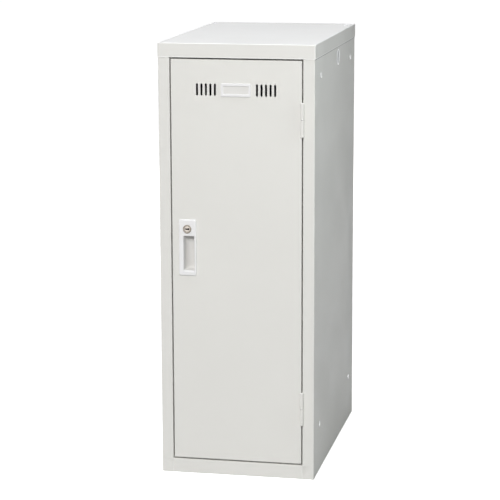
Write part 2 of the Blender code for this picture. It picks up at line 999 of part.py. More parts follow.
lock_head_radius = lock_body_radius + lock_lip
nut_across_flats = 2 * (lock_body_radius + nut_wall)
cam_depth = jamb_depth + sheet + cam_stop_gap
lock_body_depth = cam_depth - cam_body_gap
plug_neck_depth = cam_depth + cam_thickness + plug_neck_tip
key_place = (lock_x, front, lock_z)
key_joint = joint_empty("key_axis", key_place, door_joint)


def handle_housing():
    """The bezel lies on the door, and the cup behind it passes through the door and snaps in."""
    bezel = soft_block(
        "handle_housing",
        (bezel_left, bezel_front, bezel_bottom),
        (bezel_right, front - fit_gap, bezel_top),
        1,
        bezel_corner_radius,
        "white_plastic",
    )
    front_edges(bezel, bezel_edge_radius)
    cup = soft_block(
        "handle_cup",
        (bezel_left + cup_inset, front - bezel_thickness / 2, bezel_bottom + cup_inset),
        (bezel_right - cup_inset, cup_back, bezel_top - cup_inset),
        1,
        cup_corner_radius,
    )
    join(bezel, cup)
    for side, side_name in ((1, "right"), (-1, "left")):
        for level, level_name in ((1, "upper"), (-1, "lower")):
            join(bezel, snap_wedge("handle_snap_" + side_name + "_" + level_name, side, level))
    pocket = block(
        "finger_pocket",
        (pocket_left, bezel_front - overrun - pocket_corner_radius, pocket_bottom),
        (pocket_right, front + pocket_depth, pocket_top),
    )
    scoop_edge(pocket, pocket_scoop_radius)
    round_edges(pocket, pocket_corner_radius)
    grip = block(
        "finger_grip",
        (pocket_left - grip_depth, front + grip_lip, pocket_bottom + grip_end_margin),
        (pocket_left + pocket_width / 2, front + pocket_depth - fit_gap, pocket_top - grip_end_margin),
    )
    round_edges(grip, pocket_corner_radius)
    lock_hole = rod(
        "lock_hole",
        (lock_x, front, lock_z),
        lock_body_radius + fit_gap,
        2 * (bezel_thickness + overrun),
        (0, 1, 0),
    )
    lock_room = soft_block(
        "lock_room",
        (
            bezel_left + cup_inset + lock_room_wall,
            bezel_front + lock_wall,
            pocket_top + lock_room_wall,
        ),
        (
            bezel_right - cup_inset - lock_room_wall,
            cup_back + overrun,
            bezel_top - cup_inset - lock_room_wall,
        ),
        1,
        lock_room_wall,
    )
    cut(bezel, pocket, grip, lock_hole, lock_room)
    return bezel


def front_edges(thing, radius):
    """Rounds the edges round a piece's front face, towards -Y."""
    shape = bmesh.new()
    shape.from_mesh(thing.data)
    shape.normal_update()
    face = min(shape.faces, key=lambda candidate: candidate.normal.y)
    bevel_round(shape, list(face.edges), radius, 2)
    shape.to_mesh(thing.data)
    shape.free()


def scoop_edge(thing, radius):
    """Rounds a pocket cutter where its floor turns up to the front at the lower end."""
    shape = bmesh.new()
    shape.from_mesh(thing.data)
    shape.normal_update()
    floor = max(shape.faces, key=lambda face: face.normal.y)
    end = min(shape.faces, key=lambda face: face.normal.z)
    edges = [edge for edge in floor.edges if edge in end.edges]
    bevel_round(shape, edges, radius, 2 * fold_steps)
    shape.to_mesh(thing.data)
    shape.free()


def snap_wedge(name, side, level):
    """A wedge on the cup's flank that hooks behind the door's sheet and thins out backwards."""
    wall_x = bezel_x + side * (bezel_width / 2 - cup_inset)
    z = bezel_z + level * snap_place_share * bezel_height
    y = front + sheet + fit_gap
    across = sorted((wall_x - side * snap_reach, wall_x + side * snap_reach))
    wedge = block(
        name,
        (across[0], y, z - snap_height / 2),
        (across[1], y + snap_depth, z + snap_height / 2),
    )
    for point in wedge.data.vertices:
        if point.co.y > 0 and side * point.co.x > 0:
            point.co.x = -side * snap_reach / 2
    return wedge


def handle_opening():
    """The door's cut-out for the cup."""
    inset = cup_inset - fit_gap
    return soft_block(
        "handle_opening",
        (bezel_left + inset, front - overrun, bezel_bottom + inset),
        (bezel_right - inset, front + sheet + overrun, bezel_top - inset),
        1,
        cup_corner_radius,
    )


def lock_case():
    """The fixed sleeve of the lock. Heights run outwards from the door's face."""
    head_back = bezel_thickness + 2 * fit_gap
    head_front = head_back + lock_head_height
    bore = lock_body_radius - lock_wall_thickness
    profile = [
        (lock_head_radius - lock_edge, head_front),
        (lock_head_radius, head_front - lock_edge),
        (lock_head_radius, head_back),
        (lock_body_radius, head_back),
        (lock_body_radius, -lock_body_depth),
        (bore, -lock_body_depth),
        (bore, head_front),
    ]
    return turned("lock_case", profile, key_place, (0, -1, 0), "nickel")


def lock_nut():
    """The hexagon nut that clamps the case behind the housing's front wall."""
    y = bezel_front + lock_wall + fit_gap
    nut = rod(
        "lock_nut",
        (lock_x, y + nut_thickness / 2, lock_z),
        nut_across_flats / 2 / math.cos(math.pi / 6),
        nut_thickness,
        (0, 1, 0),
        "zinc",
        steps=6,
    )
    bore = rod(
        "lock_nut_bore",
        (lock_x, y, lock_z),
        lock_body_radius + fit_gap,
        2 * (nut_thickness + overrun),
        (0, 1, 0),
    )
    cut(nut, bore)
    return nut


def lock_plug():
    """The turning plug, with its keyhole in front and a neck behind that carries the cam."""
    face = bezel_thickness + fit_gap + lock_head_height
    radius = lock_body_radius - lock_wall_thickness - fit_gap
    shoulder = -lock_body_depth - fit_gap
    bore = cam_screw_shank_radius + fit_gap
    profile = [
        (0, face),
        (radius - lock_edge, face),
        (radius, face - lock_edge),
        (radius, shoulder),
        (plug_neck_radius, shoulder),
        (plug_neck_radius, -plug_neck_depth),
        (bore, -plug_neck_depth),
        (bore, -plug_neck_depth + cam_screw_length + fit_gap),
        (0, -plug_neck_depth + cam_screw_length + fit_gap),
    ]
    plug = turned("lock_plug", profile, key_place, (0, -1, 0), "nickel")
    y = front - face
    slot = block(
        "keyhole_slot",
        (lock_x - keyhole_width / 2, y - overrun, lock_z - keyhole_height / 2),
        (lock_x + keyhole_width / 2, y + keyhole_depth, lock_z + keyhole_height / 2),
    )
    end = rod(
        "keyhole_end",
        (lock_x + keyhole_width / 2 - keyhole_round_radius, y, lock_z),
        keyhole_round_radius,
        2 * (keyhole_depth - fit_gap),
        (0, 1, 0),
        steps=small_round_steps,
    )
    cut(plug, slot, end)
    return plug


def lock_cam():
    """A flat arm with round ends: it points down when unlocked, and turns behind the left stop."""
    cam = rod(
        "lock_cam",
        (lock_x, front + cam_depth + cam_thickness / 2, lock_z - cam_reach / 2),
        cam_width / 2,
        cam_thickness,
        (0, 1, 0),
        "zinc",
        stretch=cam_reach,
    )
    cam.rotation_euler = runs_along["Y"].to_euler()
    hole = rod(
        "lock_cam_hole",
        (lock_x, front + cam_depth, lock_z),
        plug_neck_radius + fit_gap,
        2 * (cam_thickness + overrun),
        (0, 1, 0),
        steps=small_round_steps,
    )
    cut(cam, hole)
    return cam


def cam_screw():
    return pan_screw(
        "cam_screw",
        (lock_x, front + plug_neck_depth + fit_gap, lock_z),
        (0, 1, 0),
        cam_screw_head_radius,
        cam_screw_head_height,
        cam_screw_shank_radius,
        cam_screw_length,
    )


# Card holder
card_frame_side = 0.00425  # width of the frame at each end of its window
card_frame_edge = 0.00525  # and above and below it
card_frame_thickness = 0.0018
card_frame_radius = 0.0012
card_window_width = 0.051
card_window_height = 0.0155
card_window_slope = 0.0014
card_margin = 0.0014  # card hidden behind each edge of the window
card_thickness = 0.0004
card_peg_radius = 0.0010
card_peg_length = 0.003
card_x = 0
card_frame_width = card_window_width + 2 * card_frame_side
card_frame_height = card_window_height + 2 * card_frame_edge
card_z = door_top - vent_top_distance
card_half_width = card_window_width / 2 + card_margin
card_half_height = card_window_height / 2 + card_margin
card_peg_reach = (card_frame_width / 2 + card_half_width + fit_gap) / 2
card_peg_places = {"right": card_x + card_peg_reach, "left": card_x - card_peg_reach}


def card_frame():
    """A moulded frame with a sloped window, a recess behind it for the card, and two pegs."""
    back = front - fit_gap
    frame = soft_block(
        "card_frame",
        (card_x - card_frame_width / 2, back - card_frame_thickness, card_z - card_frame_height / 2),
        (card_x + card_frame_width / 2, back, card_z + card_frame_height / 2),
        1,
        card_frame_radius,
        "white_plastic",
    )
    front_edges(frame, card_frame_radius / 2)
    peg_start = back - card_frame_thickness / 2
    peg_end = front + card_peg_length
    for place, x in card_peg_places.items():
        peg = rod(
            "card_peg_" + place,
            (x, (peg_start + peg_end) / 2, card_z),
            card_peg_radius,
            peg_end - peg_start,
            (0, 1, 0),
            steps=small_round_steps,
        )
        join(frame, peg)
    window = block(
        "card_window",
        (card_x - card_window_width / 2, back - card_frame_thickness, card_z - card_window_height / 2),
        (card_x + card_window_width / 2, back - card_thickness, card_z + card_window_height / 2),
    )
    for point in window.data.vertices:
        if point.co.y < 0:
            point.co.x += math.copysign(card_window_slope, point.co.x)
            point.co.z += math.copysign(card_window_slope, point.co.z)
            point.co.y -= fit_gap
    recess = block(
        "card_recess",
        (
            card_x - card_half_width - fit_gap,
            back - card_thickness - fit_gap,
            card_z - card_half_height - fit_gap,
        ),
        (
            card_x + card_half_width + fit_gap,
            back + overrun,
            card_z + card_half_height + fit_gap,
        ),
    )
    cut(frame, window, recess)
    return frame


def name_card():
    back = front - fit_gap
    return block(
        "name_card",
        (card_x - card_half_width, back - card_thickness, card_z - card_half_height),
        (card_x + card_half_width, back, card_z + card_half_height),
        "card",
    )


# Door body
stiffener_width = 0.050
stiffener_crown_width = 0.026
stiffener_depth = 0.014
stiffener_end_distance = 0.030
stiffener_vent_gap = 0.017


def door_skin():
    """The door: a pan with a turned-in rim, vent slots and the cut-outs for handle and card."""
    skin = folded_box(
        "door_skin",
        (-door_x, front, door_bottom),
        (door_x, front + door_depth, door_top),
        (0, 1, 0),
        door_rim_width,
        "door_paint",
    )
    cut(skin, vent_cutter(), handle_opening())
    for place, x in card_peg_places.items():
        hole = rod(
            "card_peg_hole_" + place,
            (x, front, card_z),
            card_peg_radius + fit_gap,
            2 * (sheet + overrun),
            (0, 1, 0),
            steps=small_round_steps,
        )
        cut(skin, hole)
    return skin


def door_stiffener():
    """A hat channel behind the middle of the door, from above its foot to below the vents."""
    near = front + sheet + fit_gap + sheet
    path = [
        (stiffener_width / 2, near),
        (stiffener_crown_width / 2, near),
        (stiffener_crown_width / 2, front + stiffener_depth),
        (-stiffener_crown_width / 2, front + stiffener_depth),
        (-stiffener_crown_width / 2, near),
        (-stiffener_width / 2, near),
    ]
    top = door_top - vent_top_distance - vent_height / 2 - stiffener_vent_gap
    return folded_section(
        "door_stiffener", path, "Z", door_bottom + stiffener_end_distance, top, "body_paint"
    )


# Assembly
top_cap()
right_panel = side_panel("side_panel_right", 1)
left_panel = side_panel("side_panel_left", -1)
stop_lip_cuts(left_panel)
side_plugs()
back_panel()
front_rail()
top_rail()
floor_pan()
shelf()
shelf_rail("shelf_rail_right", 1)
shelf_rail("shelf_rail_left", -1)
hanger_tube()
hanger_socket("hanger_socket_right", 1)
hanger_socket("hanger_socket_left", -1)
magnet_catch()
for height_name, height in bumper_heights.items():
    door_bumper(height_name, height)
hinge("upper", door_top - hinge_end_distance)
hinge("lower", door_bottom + hinge_end_distance)
hang(
    door_joint,
    hinge_place,
    door_skin(),
    door_stiffener(),
    handle_housing(),
    card_frame(),
    name_card(),
    lock_case(),
    lock_nut(),
)
hang(key_joint, key_place, lock_plug(), lock_cam(), cam_screw())
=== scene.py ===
# Personal mini locker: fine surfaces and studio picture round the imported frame
import math

import bpy
import bmesh
import numpy as np
from mathutils import Matrix, Vector


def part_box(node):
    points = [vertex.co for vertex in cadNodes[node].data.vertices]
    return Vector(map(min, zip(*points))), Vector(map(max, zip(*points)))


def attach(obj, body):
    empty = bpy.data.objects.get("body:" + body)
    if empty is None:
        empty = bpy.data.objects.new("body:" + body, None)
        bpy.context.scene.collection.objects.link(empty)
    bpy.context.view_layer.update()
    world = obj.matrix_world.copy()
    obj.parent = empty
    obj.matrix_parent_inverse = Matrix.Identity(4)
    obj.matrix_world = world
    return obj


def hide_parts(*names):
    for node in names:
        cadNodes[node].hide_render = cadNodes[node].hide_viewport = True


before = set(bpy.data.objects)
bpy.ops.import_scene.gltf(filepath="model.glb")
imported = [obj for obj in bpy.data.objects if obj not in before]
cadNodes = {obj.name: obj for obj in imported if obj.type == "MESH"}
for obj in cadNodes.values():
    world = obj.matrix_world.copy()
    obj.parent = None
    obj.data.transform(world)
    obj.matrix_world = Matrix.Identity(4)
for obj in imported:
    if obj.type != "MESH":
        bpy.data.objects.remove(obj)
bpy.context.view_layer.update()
scene = bpy.context.scene
print("frame loaded:", len(cadNodes), "nodes")

# Camera, metres and degrees: where it stands, and how far it turns left, tips down and rolls
view = {
    "place": (0.79422, -3.97351, 1.22618),
    "turn": 11.648,
    "tip": 11.257,
    "roll": -0.180,
    "lens": 140.06,  # mm, on the sensor's width
    "sensor": 36,
}


def makeCamera():
    data = bpy.data.cameras.new("viewCamera")
    data.lens, data.sensor_width = view["lens"], view["sensor"]
    camera = bpy.data.objects.new("viewCamera", data)
    scene.collection.objects.link(camera)
    turned = Matrix.Rotation(math.radians(view["turn"]), 3, "Z")
    tipped = Matrix.Rotation(math.radians(90 - view["tip"]), 3, "X")
    rolled = Matrix.Rotation(math.radians(view["roll"]), 3, "Z")
    camera.location = view["place"]
    camera.rotation_euler = (turned @ tipped @ rolled).to_euler()
    scene.camera = camera


makeCamera()


# Nodes
def addNode(tree, kind, inputs=None, **settings):
    made = tree.nodes.new(kind)
    for key, value in settings.items():
        setattr(made, key, value)
    for key, value in (inputs or {}).items():
        if isinstance(value, bpy.types.NodeSocket):
            tree.links.new(value, made.inputs[key])
        else:
            made.inputs[key].default_value = value
    return made


def addMath(tree, operation, first, second=0.0, clamp=False):
    settings = {"operation": operation, "use_clamp": clamp}
    return addNode(tree, "ShaderNodeMath", {0: first, 1: second}, **settings).outputs[0]


def addVector(tree, operation, first, second=(0, 0, 0), output=0):
    made = addNode(tree, "ShaderNodeVectorMath", {0: first, 1: second}, operation=operation)
    return made.outputs[output]


def addRange(tree, value, *limits, **settings):
    # the limits are: from low, from high, to low, to high
    inputs = {0: value, **dict(enumerate(limits, 1))}
    return addNode(tree, "ShaderNodeMapRange", inputs, **settings).outputs[0]


def addNoise(tree, place, scale, detail, **more):
    inputs = {"Vector": place, "Scale": scale, "Detail": detail, **more}
    return addNode(tree, "ShaderNodeTexNoise", inputs).outputs[0]


def addMix(tree, amount, first, second):
    inputs = {0: amount, 6: first, 7: second}
    return addNode(tree, "ShaderNodeMix", inputs, data_type="RGBA").outputs[2]


def addShader(tree, kind, colour, **inputs):
    return addNode(tree, kind, {"Color": (*colour, 1), **inputs}).outputs[0]


def objectPlace(tree):
    return addNode(tree, "ShaderNodeTexCoord").outputs["Object"]


# Studio: lamps are (place, aim, width and height in metres, watts, colour)
studio = {
    "lamps": {
        "keyLamp": ((0.1, -6.4, 4.7), (0, 0, 0.35), (4.4, 3.4), 470, (1.0, 0.99, 0.975)),
        "topLamp": ((-0.5, -0.3, 3.2), (0, 0, 0.8), (1.6, 1.6), 32.4, (0.88, 0.895, 1.0)),
        "sideLamp": ((0.95, -0.42, 1.2), (0.16, -0.3, 0.7), (0.4, 1.3), 4.1, (0.93, 1.0, 1.0)),
        "backLamp": ((-2.6, 3.2, 1.2), (0, 0, 0.4), (1.9, 1.9), 75, (1.0, 1.0, 1.0)),
    },
    "white": (1.0, 1.0, 1.0),
    "ambient": 0.01,
    "floorBounce": (0.6, 0.6, 0.6),  # what the floor sends back to the object
    "floorGlow": 0.7,  # lifts the floor that the camera sees to white, and leaves the shadow
    "glowFrom": 0.8,  # from this distance the glow rises, and from the next it is full
    "glowTo": 2.0,
    "floorSize": 60.0,
}


def makeLamps():
    for name, (place, aim, size, watts, colour) in studio["lamps"].items():
        data = bpy.data.lights.new(name, "AREA")
        data.shape = "ELLIPSE"
        data.size, data.size_y = size
        data.energy = watts
        data.color = colour
        lamp = bpy.data.objects.new(name, data)
        scene.collection.objects.link(lamp)
        lamp.visible_camera = False
        lamp.location = place
        away = Vector(place) - Vector(aim)
        lamp.rotation_euler = away.to_track_quat("Z", "Y").to_euler()


def addSurface(tree, output, lighting, seen):
    # one shader lights the object; the camera, a mirror or glass sees the other
    ray = addNode(tree, "ShaderNodeLightPath").outputs
    rays = addMath(tree, "MAXIMUM", ray["Is Camera Ray"], ray["Is Glossy Ray"])
    rays = addMath(tree, "MAXIMUM", rays, ray["Is Transmission Ray"])
    either = addNode(tree, "ShaderNodeMixShader", {0: rays, 1: lighting, 2: seen})
    addNode(tree, output, {"Surface": either.outputs[0]})


def makeWorld():
    world = bpy.data.worlds.new("studioWorld")
    scene.world = world
    world.use_nodes = True
    tree, white = world.node_tree, studio["white"]
    tree.nodes.clear()
    soft = addShader(tree, "ShaderNodeBackground", white, Strength=studio["ambient"])
    bright = addShader(tree, "ShaderNodeBackground", white, Strength=1)
    addSurface(tree, "ShaderNodeOutputWorld", soft, bright)


def makeFloor():
    half = studio["floorSize"] / 2
    corners = [(-half, -half, 0), (half, -half, 0), (half, half, 0), (-half, half, 0)]
    mesh = bpy.data.meshes.new("studioFloor")
    mesh.from_pydata(corners, [], [(0, 1, 2, 3)])
    floor = bpy.data.objects.new("studioFloor", mesh)
    scene.collection.objects.link(floor)
    material = bpy.data.materials.new("paleFloor")
    material.use_nodes = True
    tree, white = material.node_tree, studio["white"]
    tree.nodes.clear()
    bounce = addShader(tree, "ShaderNodeBsdfDiffuse", studio["floorBounce"])
    pale = addShader(tree, "ShaderNodeBsdfDiffuse", white)
    away = addVector(tree, "LENGTH", objectPlace(tree), output="Value")
    limits = studio["glowFrom"], studio["glowTo"], studio["floorGlow"], 1.0
    level = addRange(tree, away, *limits, interpolation_type="SMOOTHSTEP")
    glow = addShader(tree, "ShaderNodeEmission", white, Strength=level)
    lit = addNode(tree, "ShaderNodeAddShader", {0: pale, 1: glow}).outputs[0]
    addSurface(tree, "ShaderNodeOutputMaterial", bounce, lit)
    mesh.materials.append(material)


makeLamps()
makeWorld()
makeFloor()
scene.view_settings.view_transform = "Standard"
print("studio ready")


# Surfaces: a shell is (points, faces), worked out as whole arrays
alongX, alongY, alongZ = (1, 0, 0), (0, 1, 0), (0, 0, 1)
arcSteps = 6  # parts of an arc where no other number is given


def makeAxes(origin, across, up):
    # a drawing board: across and up lie in the drawing, the third axis points out of it
    across, up = np.array(across, float), np.array(up, float)
    return np.array(origin, float), across, up, np.cross(across, up)


def inSpace(axes, across, up, out):
    # origin + across * first axis + up * second axis + out * third axis
    across, up, out = np.broadcast_arrays(across, up, out)
    origin, first, second, third = axes
    return origin + across[..., None] * first + up[..., None] * second + out[..., None] * third


planBoard = makeAxes((0, 0, 0), alongX, alongY)
frontBoard = makeAxes((0, 0, 0), alongX, alongZ)
sideBoard = makeAxes((0, 0, 0), alongY, alongZ)


def quarterTurn(count):
    # angles from 0 to a right angle
    return np.linspace(0, np.pi / 2, count)


def quarterLoss(distance, radius):
    # how far a quarter-round draws in, at a distance from the flat that it meets:
    # radius - root of (radius^2 - (radius - distance)^2)
    inside = np.clip(radius - distance, 0, radius)
    return radius - np.sqrt(radius**2 - inside**2)


def gridShell(points, closedRows=False, closedColumns=False, caps=(), keep=None):
    # quads between neighbouring rows and columns of points; caps 0 and -1 close the end rows;
    # keep is False for the quads that are left out
    rows, columns = points.shape[:2]
    index = np.arange(rows * columns).reshape(rows, columns)
    if closedRows:
        index = np.vstack([index, index[:1]])
    if closedColumns:
        index = np.hstack([index, index[:, :1]])
    quads = np.stack([index[:-1, :-1], index[:-1, 1:], index[1:, 1:], index[1:, :-1]], axis=-1)
    quads = quads.reshape(-1, 4) if keep is None else quads[keep]
    faces = quads.tolist()
    faces += [index[row, :columns].tolist() for row in caps]
    return points.reshape(-1, 3), faces


def roundCorners(corners, radii, steps=arcSteps):
    # each corner becomes the arc ((1-u)^2 a + 2s u(1-u) p + u^2 b) / ((1-u)^2 + 2s u(1-u) + u^2):
    # a and b lie radius / tan(half the corner's angle) along its sides, s is the sine of that half
    corners = np.asarray(corners, float)
    radii = np.broadcast_to(np.asarray(radii, float), len(corners))[:, None]
    back = np.roll(corners, 1, 0) - corners
    ahead = np.roll(corners, -1, 0) - corners
    back = back / np.linalg.norm(back, axis=1, keepdims=True)
    ahead = ahead / np.linalg.norm(ahead, axis=1, keepdims=True)
    cosine = np.clip(np.sum(back * ahead, axis=1, keepdims=True), -1, 1 - 1e-9)
    halfSine = np.sqrt((1 - cosine) / 2)
    reach = radii * np.sqrt((1 + cosine) / 2) / halfSine
    u = np.linspace(0, 1, steps + 1)[None, :, None]
    near, turn, far = (1 - u) ** 2, 2 * halfSine[:, None] * u * (1 - u), u**2
    start, middle, end = ((corners + side * reach)[:, None] for side in (back, 0, ahead))
    return ((near * start + turn * middle + far * end) / (near + turn + far)).reshape(-1, 2)


def ringOf(left, right, bottom, top, radius, steps=arcSteps):
    # rectangles with round corners, one a row: a corner's centre plus radius * (cos, sin)
    sizes = np.broadcast_arrays(*[np.atleast_1d(v) for v in (left, right, bottom, top, radius)])
    left, right, bottom, top, radius = (size[:, None] for size in sizes)
    angle = (np.arange(4)[:, None] * np.pi / 2 + quarterTurn(steps + 1)).ravel()
    corner = np.repeat(np.arange(4), steps + 1)
    across = np.where((corner == 0) | (corner == 3), right - radius, left + radius)
    up = np.where(corner < 2, top - radius, bottom + radius)
    return np.stack([across + radius * np.cos(angle), up + radius * np.sin(angle)], -1)


def evenRing(halfAcross, halfUp, radius, steps=arcSteps):
    # the same about the board's origin
    return ringOf(-halfAcross, halfAcross, -halfUp, halfUp, radius, steps)


def ringStack(axes, rings, levels, caps=(0, -1), **ends):
    # one outline a row, each at its level along the third axis
    points = inSpace(axes, rings[..., 0], rings[..., 1], np.asarray(levels, float)[:, None])
    return gridShell(points, closedColumns=True, caps=caps, **ends)


def prismShell(axes, ring, low, high):
    # one outline carried straight from a low level to a high one
    return ringStack(axes, np.repeat(ring, 2, 0), (low, high))


def blockShell(low, high):
    # a box between two opposite corners
    ring = ringOf(low[0], high[0], low[1], high[1], 0, 1)
    return prismShell(planBoard, ring, low[2], high[2])


def turnedShell(axes, profile, steps=48, loop=False):
    # (radius, level) points carried round the third axis: radius * (cos, sin) at that level
    profile = np.asarray(profile, float)
    angle = np.linspace(0, 2 * np.pi, steps, endpoint=False)
    radius, level = profile[:, :1], profile[:, 1:]
    points = inSpace(axes, radius * np.cos(angle), radius * np.sin(angle), level)
    return gridShell(points, closedRows=loop, closedColumns=True)


def rodShell(axes, radius, low, high, steps=32):
    # a circle carried along the third axis, with flat ends
    return turnedShell(axes, [(0, low), (radius, low), (radius, high), (0, high)], steps)


def stripShell(axes, path, levels, keep=None):
    # a path carried along the third axis, through every level
    points = inSpace(axes, path[:, :1], path[:, 1:], np.asarray(levels, float)[None, :])
    return gridShell(points, keep=keep)


# Meshes
mergeReach = 0.00001


def makeMesh(shells, facing=None):
    # joins the shells, merges their seams and poles, and turns the faces outwards;
    # an open sheet's outside is where the face furthest along facing looks
    starts = np.cumsum([0] + [len(points) for points, _ in shells])
    points = np.concatenate([points for points, _ in shells])
    faces = []
    for (_, ring), start in zip(shells, starts):
        faces += [[corner + int(start) for corner in face] for face in ring]
    mesh = bpy.data.meshes.new("shell")
    mesh.from_pydata(points.tolist(), [], faces)
    work = bmesh.new()
    work.from_mesh(mesh)
    bmesh.ops.remove_doubles(work, verts=work.verts, dist=mergeReach)
    bmesh.ops.recalc_face_normals(work, faces=work.faces)
    if facing is not None:
        direction = Vector(facing)
        outermost = max(work.faces, key=lambda face: face.calc_center_median().dot(direction))
        if outermost.normal.dot(direction) < 0:
            bmesh.ops.reverse_faces(work, faces=work.faces)
    work.to_mesh(mesh)
    work.free()
    return mesh


def turnedMesh(board, corners, radii, steps=40, arcs=arcSteps, loop=False):
    # a profile of (radius, level) corners with rounded edges, carried round the third axis
    return makeMesh([turnedShell(board, roundCorners(corners, radii, arcs), steps, loop)])


def worked(mesh, addModifier):
    # the mesh after one modifier, as a new mesh
    piece = bpy.data.objects.new(mesh.name, mesh)
    scene.collection.objects.link(piece)
    addModifier(piece)
    shown = piece.evaluated_get(bpy.context.evaluated_depsgraph_get())
    result = bpy.data.meshes.new_from_object(shown)
    bpy.data.objects.remove(piece)
    bpy.data.meshes.remove(mesh)
    return result


def thicken(mesh, thickness):
    def addModifier(piece):
        wall = piece.modifiers.new("wall", "SOLIDIFY")
        wall.thickness = thickness
        wall.offset = -1
        wall.use_even_offset = True

    return worked(mesh, addModifier)


def carve(mesh, shells, operation="DIFFERENCE"):
    # a closed mesh cut by, or joined to, closed shells that stay clear of one another
    tool = bpy.data.objects.new("tool", makeMesh(shells))
    scene.collection.objects.link(tool)

    def addModifier(piece):
        change = piece.modifiers.new("carve", "BOOLEAN")
        change.operation = operation
        change.solver = "EXACT"
        change.object = tool

    result = worked(mesh, addModifier)
    toolMesh = tool.data
    bpy.data.objects.remove(tool)
    bpy.data.meshes.remove(toolMesh)
    return result


creaseAngle = math.radians(32)


def camelName(node):
    first, *others = node.split("_")
    return first + "".join(other.title() for other in others)


def finishPiece(node, mesh, material, body="cabinet", name=None):
    # a shown piece in its node's place: smooth over its folds, crisp at its cut edges
    name = name or camelName(node)
    mesh.name = name
    mesh.materials.clear()
    mesh.materials.append(material)
    mesh.polygons.foreach_set("use_smooth", np.ones(len(mesh.polygons), bool))
    mesh.set_sharp_from_angle(angle=creaseAngle)
    piece = bpy.data.objects.new(name, mesh)
    scene.collection.objects.link(piece)
    even = piece.modifiers.new("evenShading", "WEIGHTED_NORMAL")
    even.keep_sharp = True
    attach(piece, body)
    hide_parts(node)


# Shader groups: each puts out only what changes over the surface, and its inputs have the names
# of the values in the looks below
def newGroup(name, addParts, inputs):
    # addParts gives the outputs by name; an input's kind follows from its value, which is a
    # number, a vector or a colour
    inputKinds = {1: "Float", 3: "Vector", 4: "Color"}
    outputKinds = {"VALUE": "Float", "VECTOR": "Vector", "RGBA": "Color"}
    group = bpy.data.node_groups.new(name, "ShaderNodeTree")
    for label, value in inputs.items():
        kind = "NodeSocket" + inputKinds[np.size(value)]
        socket = group.interface.new_socket(label, in_out="INPUT", socket_type=kind)
        socket.default_value = value
    results = addParts(group, addNode(group, "NodeGroupInput").outputs)
    for label, result in results.items():
        kind = "NodeSocket" + outputKinds[result.type]
        group.interface.new_socket(label, in_out="OUTPUT", socket_type=kind)
    addNode(group, "NodeGroupOutput", results)
    return group


def addBump(group, given, height):
    inputs = {"Strength": given["bump"], "Distance": given["depth"], "Height": height}
    return addNode(group, "ShaderNodeBump", inputs).outputs[0]


def addToneParts(group, given):
    # a colour that drifts lighter and darker in slow clouds, and turns to the edge colour along
    # rounded edges; where that colour is much lighter, as on the enamels, it is a painted
    # highlight
    cloud = addNoise(group, objectPlace(group), given["cloud"], 5.0, Roughness=0.55)
    shift = addMath(group, "SUBTRACT", cloud, 0.5)
    shift = addMath(group, "MULTIPLY", shift, given["drift"])
    shift = addMath(group, "ADD", shift, 1.0)
    scaled = {0: given["colour"], "Scale": shift}
    toned = addNode(group, "ShaderNodeVectorMath", scaled, operation="SCALE").outputs[0]
    softened = addNode(group, "ShaderNodeBevel", {"Radius": given["edgeRadius"]}, samples=6)
    sharp = addNode(group, "ShaderNodeNewGeometry").outputs["Normal"]
    agree = addVector(group, "DOT_PRODUCT", softened.outputs[0], sharp, "Value")
    edge = addMath(group, "SUBTRACT", 1.0, agree)
    edge = addMath(group, "MULTIPLY", edge, 4.0, clamp=True)
    edge = addMath(group, "MULTIPLY", edge, given["edgeAmount"])
    return {"colour": addMix(group, edge, toned, given["edge"])}


def addSheenParts(group, given):
    # roughness that wanders between two values, as wiping and handling leave it
    cloud = addNoise(group, objectPlace(group), given["wipe"], 6.0, Distortion=0.6)
    return {"roughness": addRange(group, cloud, 0.35, 0.65, given["low"], given["high"])}


def addPeelParts(group, given):
    # the orange peel of sprayed paint with finer grain on it, as a normal
    place = objectPlace(group)
    broad = addNoise(group, place, given["peel"], 2.0)
    fine = addNoise(group, place, given["grain"], 1.0)
    height = addMath(group, "MULTIPLY", fine, 0.25)
    return {"normal": addBump(group, given, addMath(group, "ADD", broad, height))}


def awayFromAxis(group, place):
    # the distance from the place's second axis
    flat = addVector(group, "MULTIPLY", place, (1, 0, 1))
    return addVector(group, "LENGTH", flat, output="Value")


def addLatheParts(group, given):
    # fine rings round the second axis of the given place, as a lathe leaves them
    rings = addMath(group, "DIVIDE", awayFromAxis(group, given["place"]), given["pitch"])
    inputs = {"W": rings, "Scale": 1.0, "Detail": 3.0}
    marks = addNode(group, "ShaderNodeTexNoise", inputs, noise_dimensions="1D").outputs[0]
    return {"mark": marks, "normal": addBump(group, given, marks)}


def addDrawnParts(group, given):
    # long fine scratches along the first axis, as a die leaves on drawn tube or rolled sheet
    stretched = addVector(group, "MULTIPLY", objectPlace(group), given["stretch"])
    marks = addNoise(group, stretched, 1.0, 4.0)
    return {"mark": marks, "normal": addBump(group, given, marks)}


def addRecessShadeParts(group, given):
    # painted shade: turns to a second, darker colour within a reach of the second axis and behind
    # its start, where shade falls in a key channel and a finger pocket
    near = addMath(group, "LESS_THAN", awayFromAxis(group, given["place"]), given["deepReach"])
    depth = addNode(group, "ShaderNodeSeparateXYZ", {0: given["place"]}).outputs["Y"]
    behind = addMath(group, "DIVIDE", depth, given["deepFrom"], clamp=True)
    deep = addMath(group, "MULTIPLY", near, behind)
    return {"colour": addMix(group, deep, given["colour"], given["deep"])}


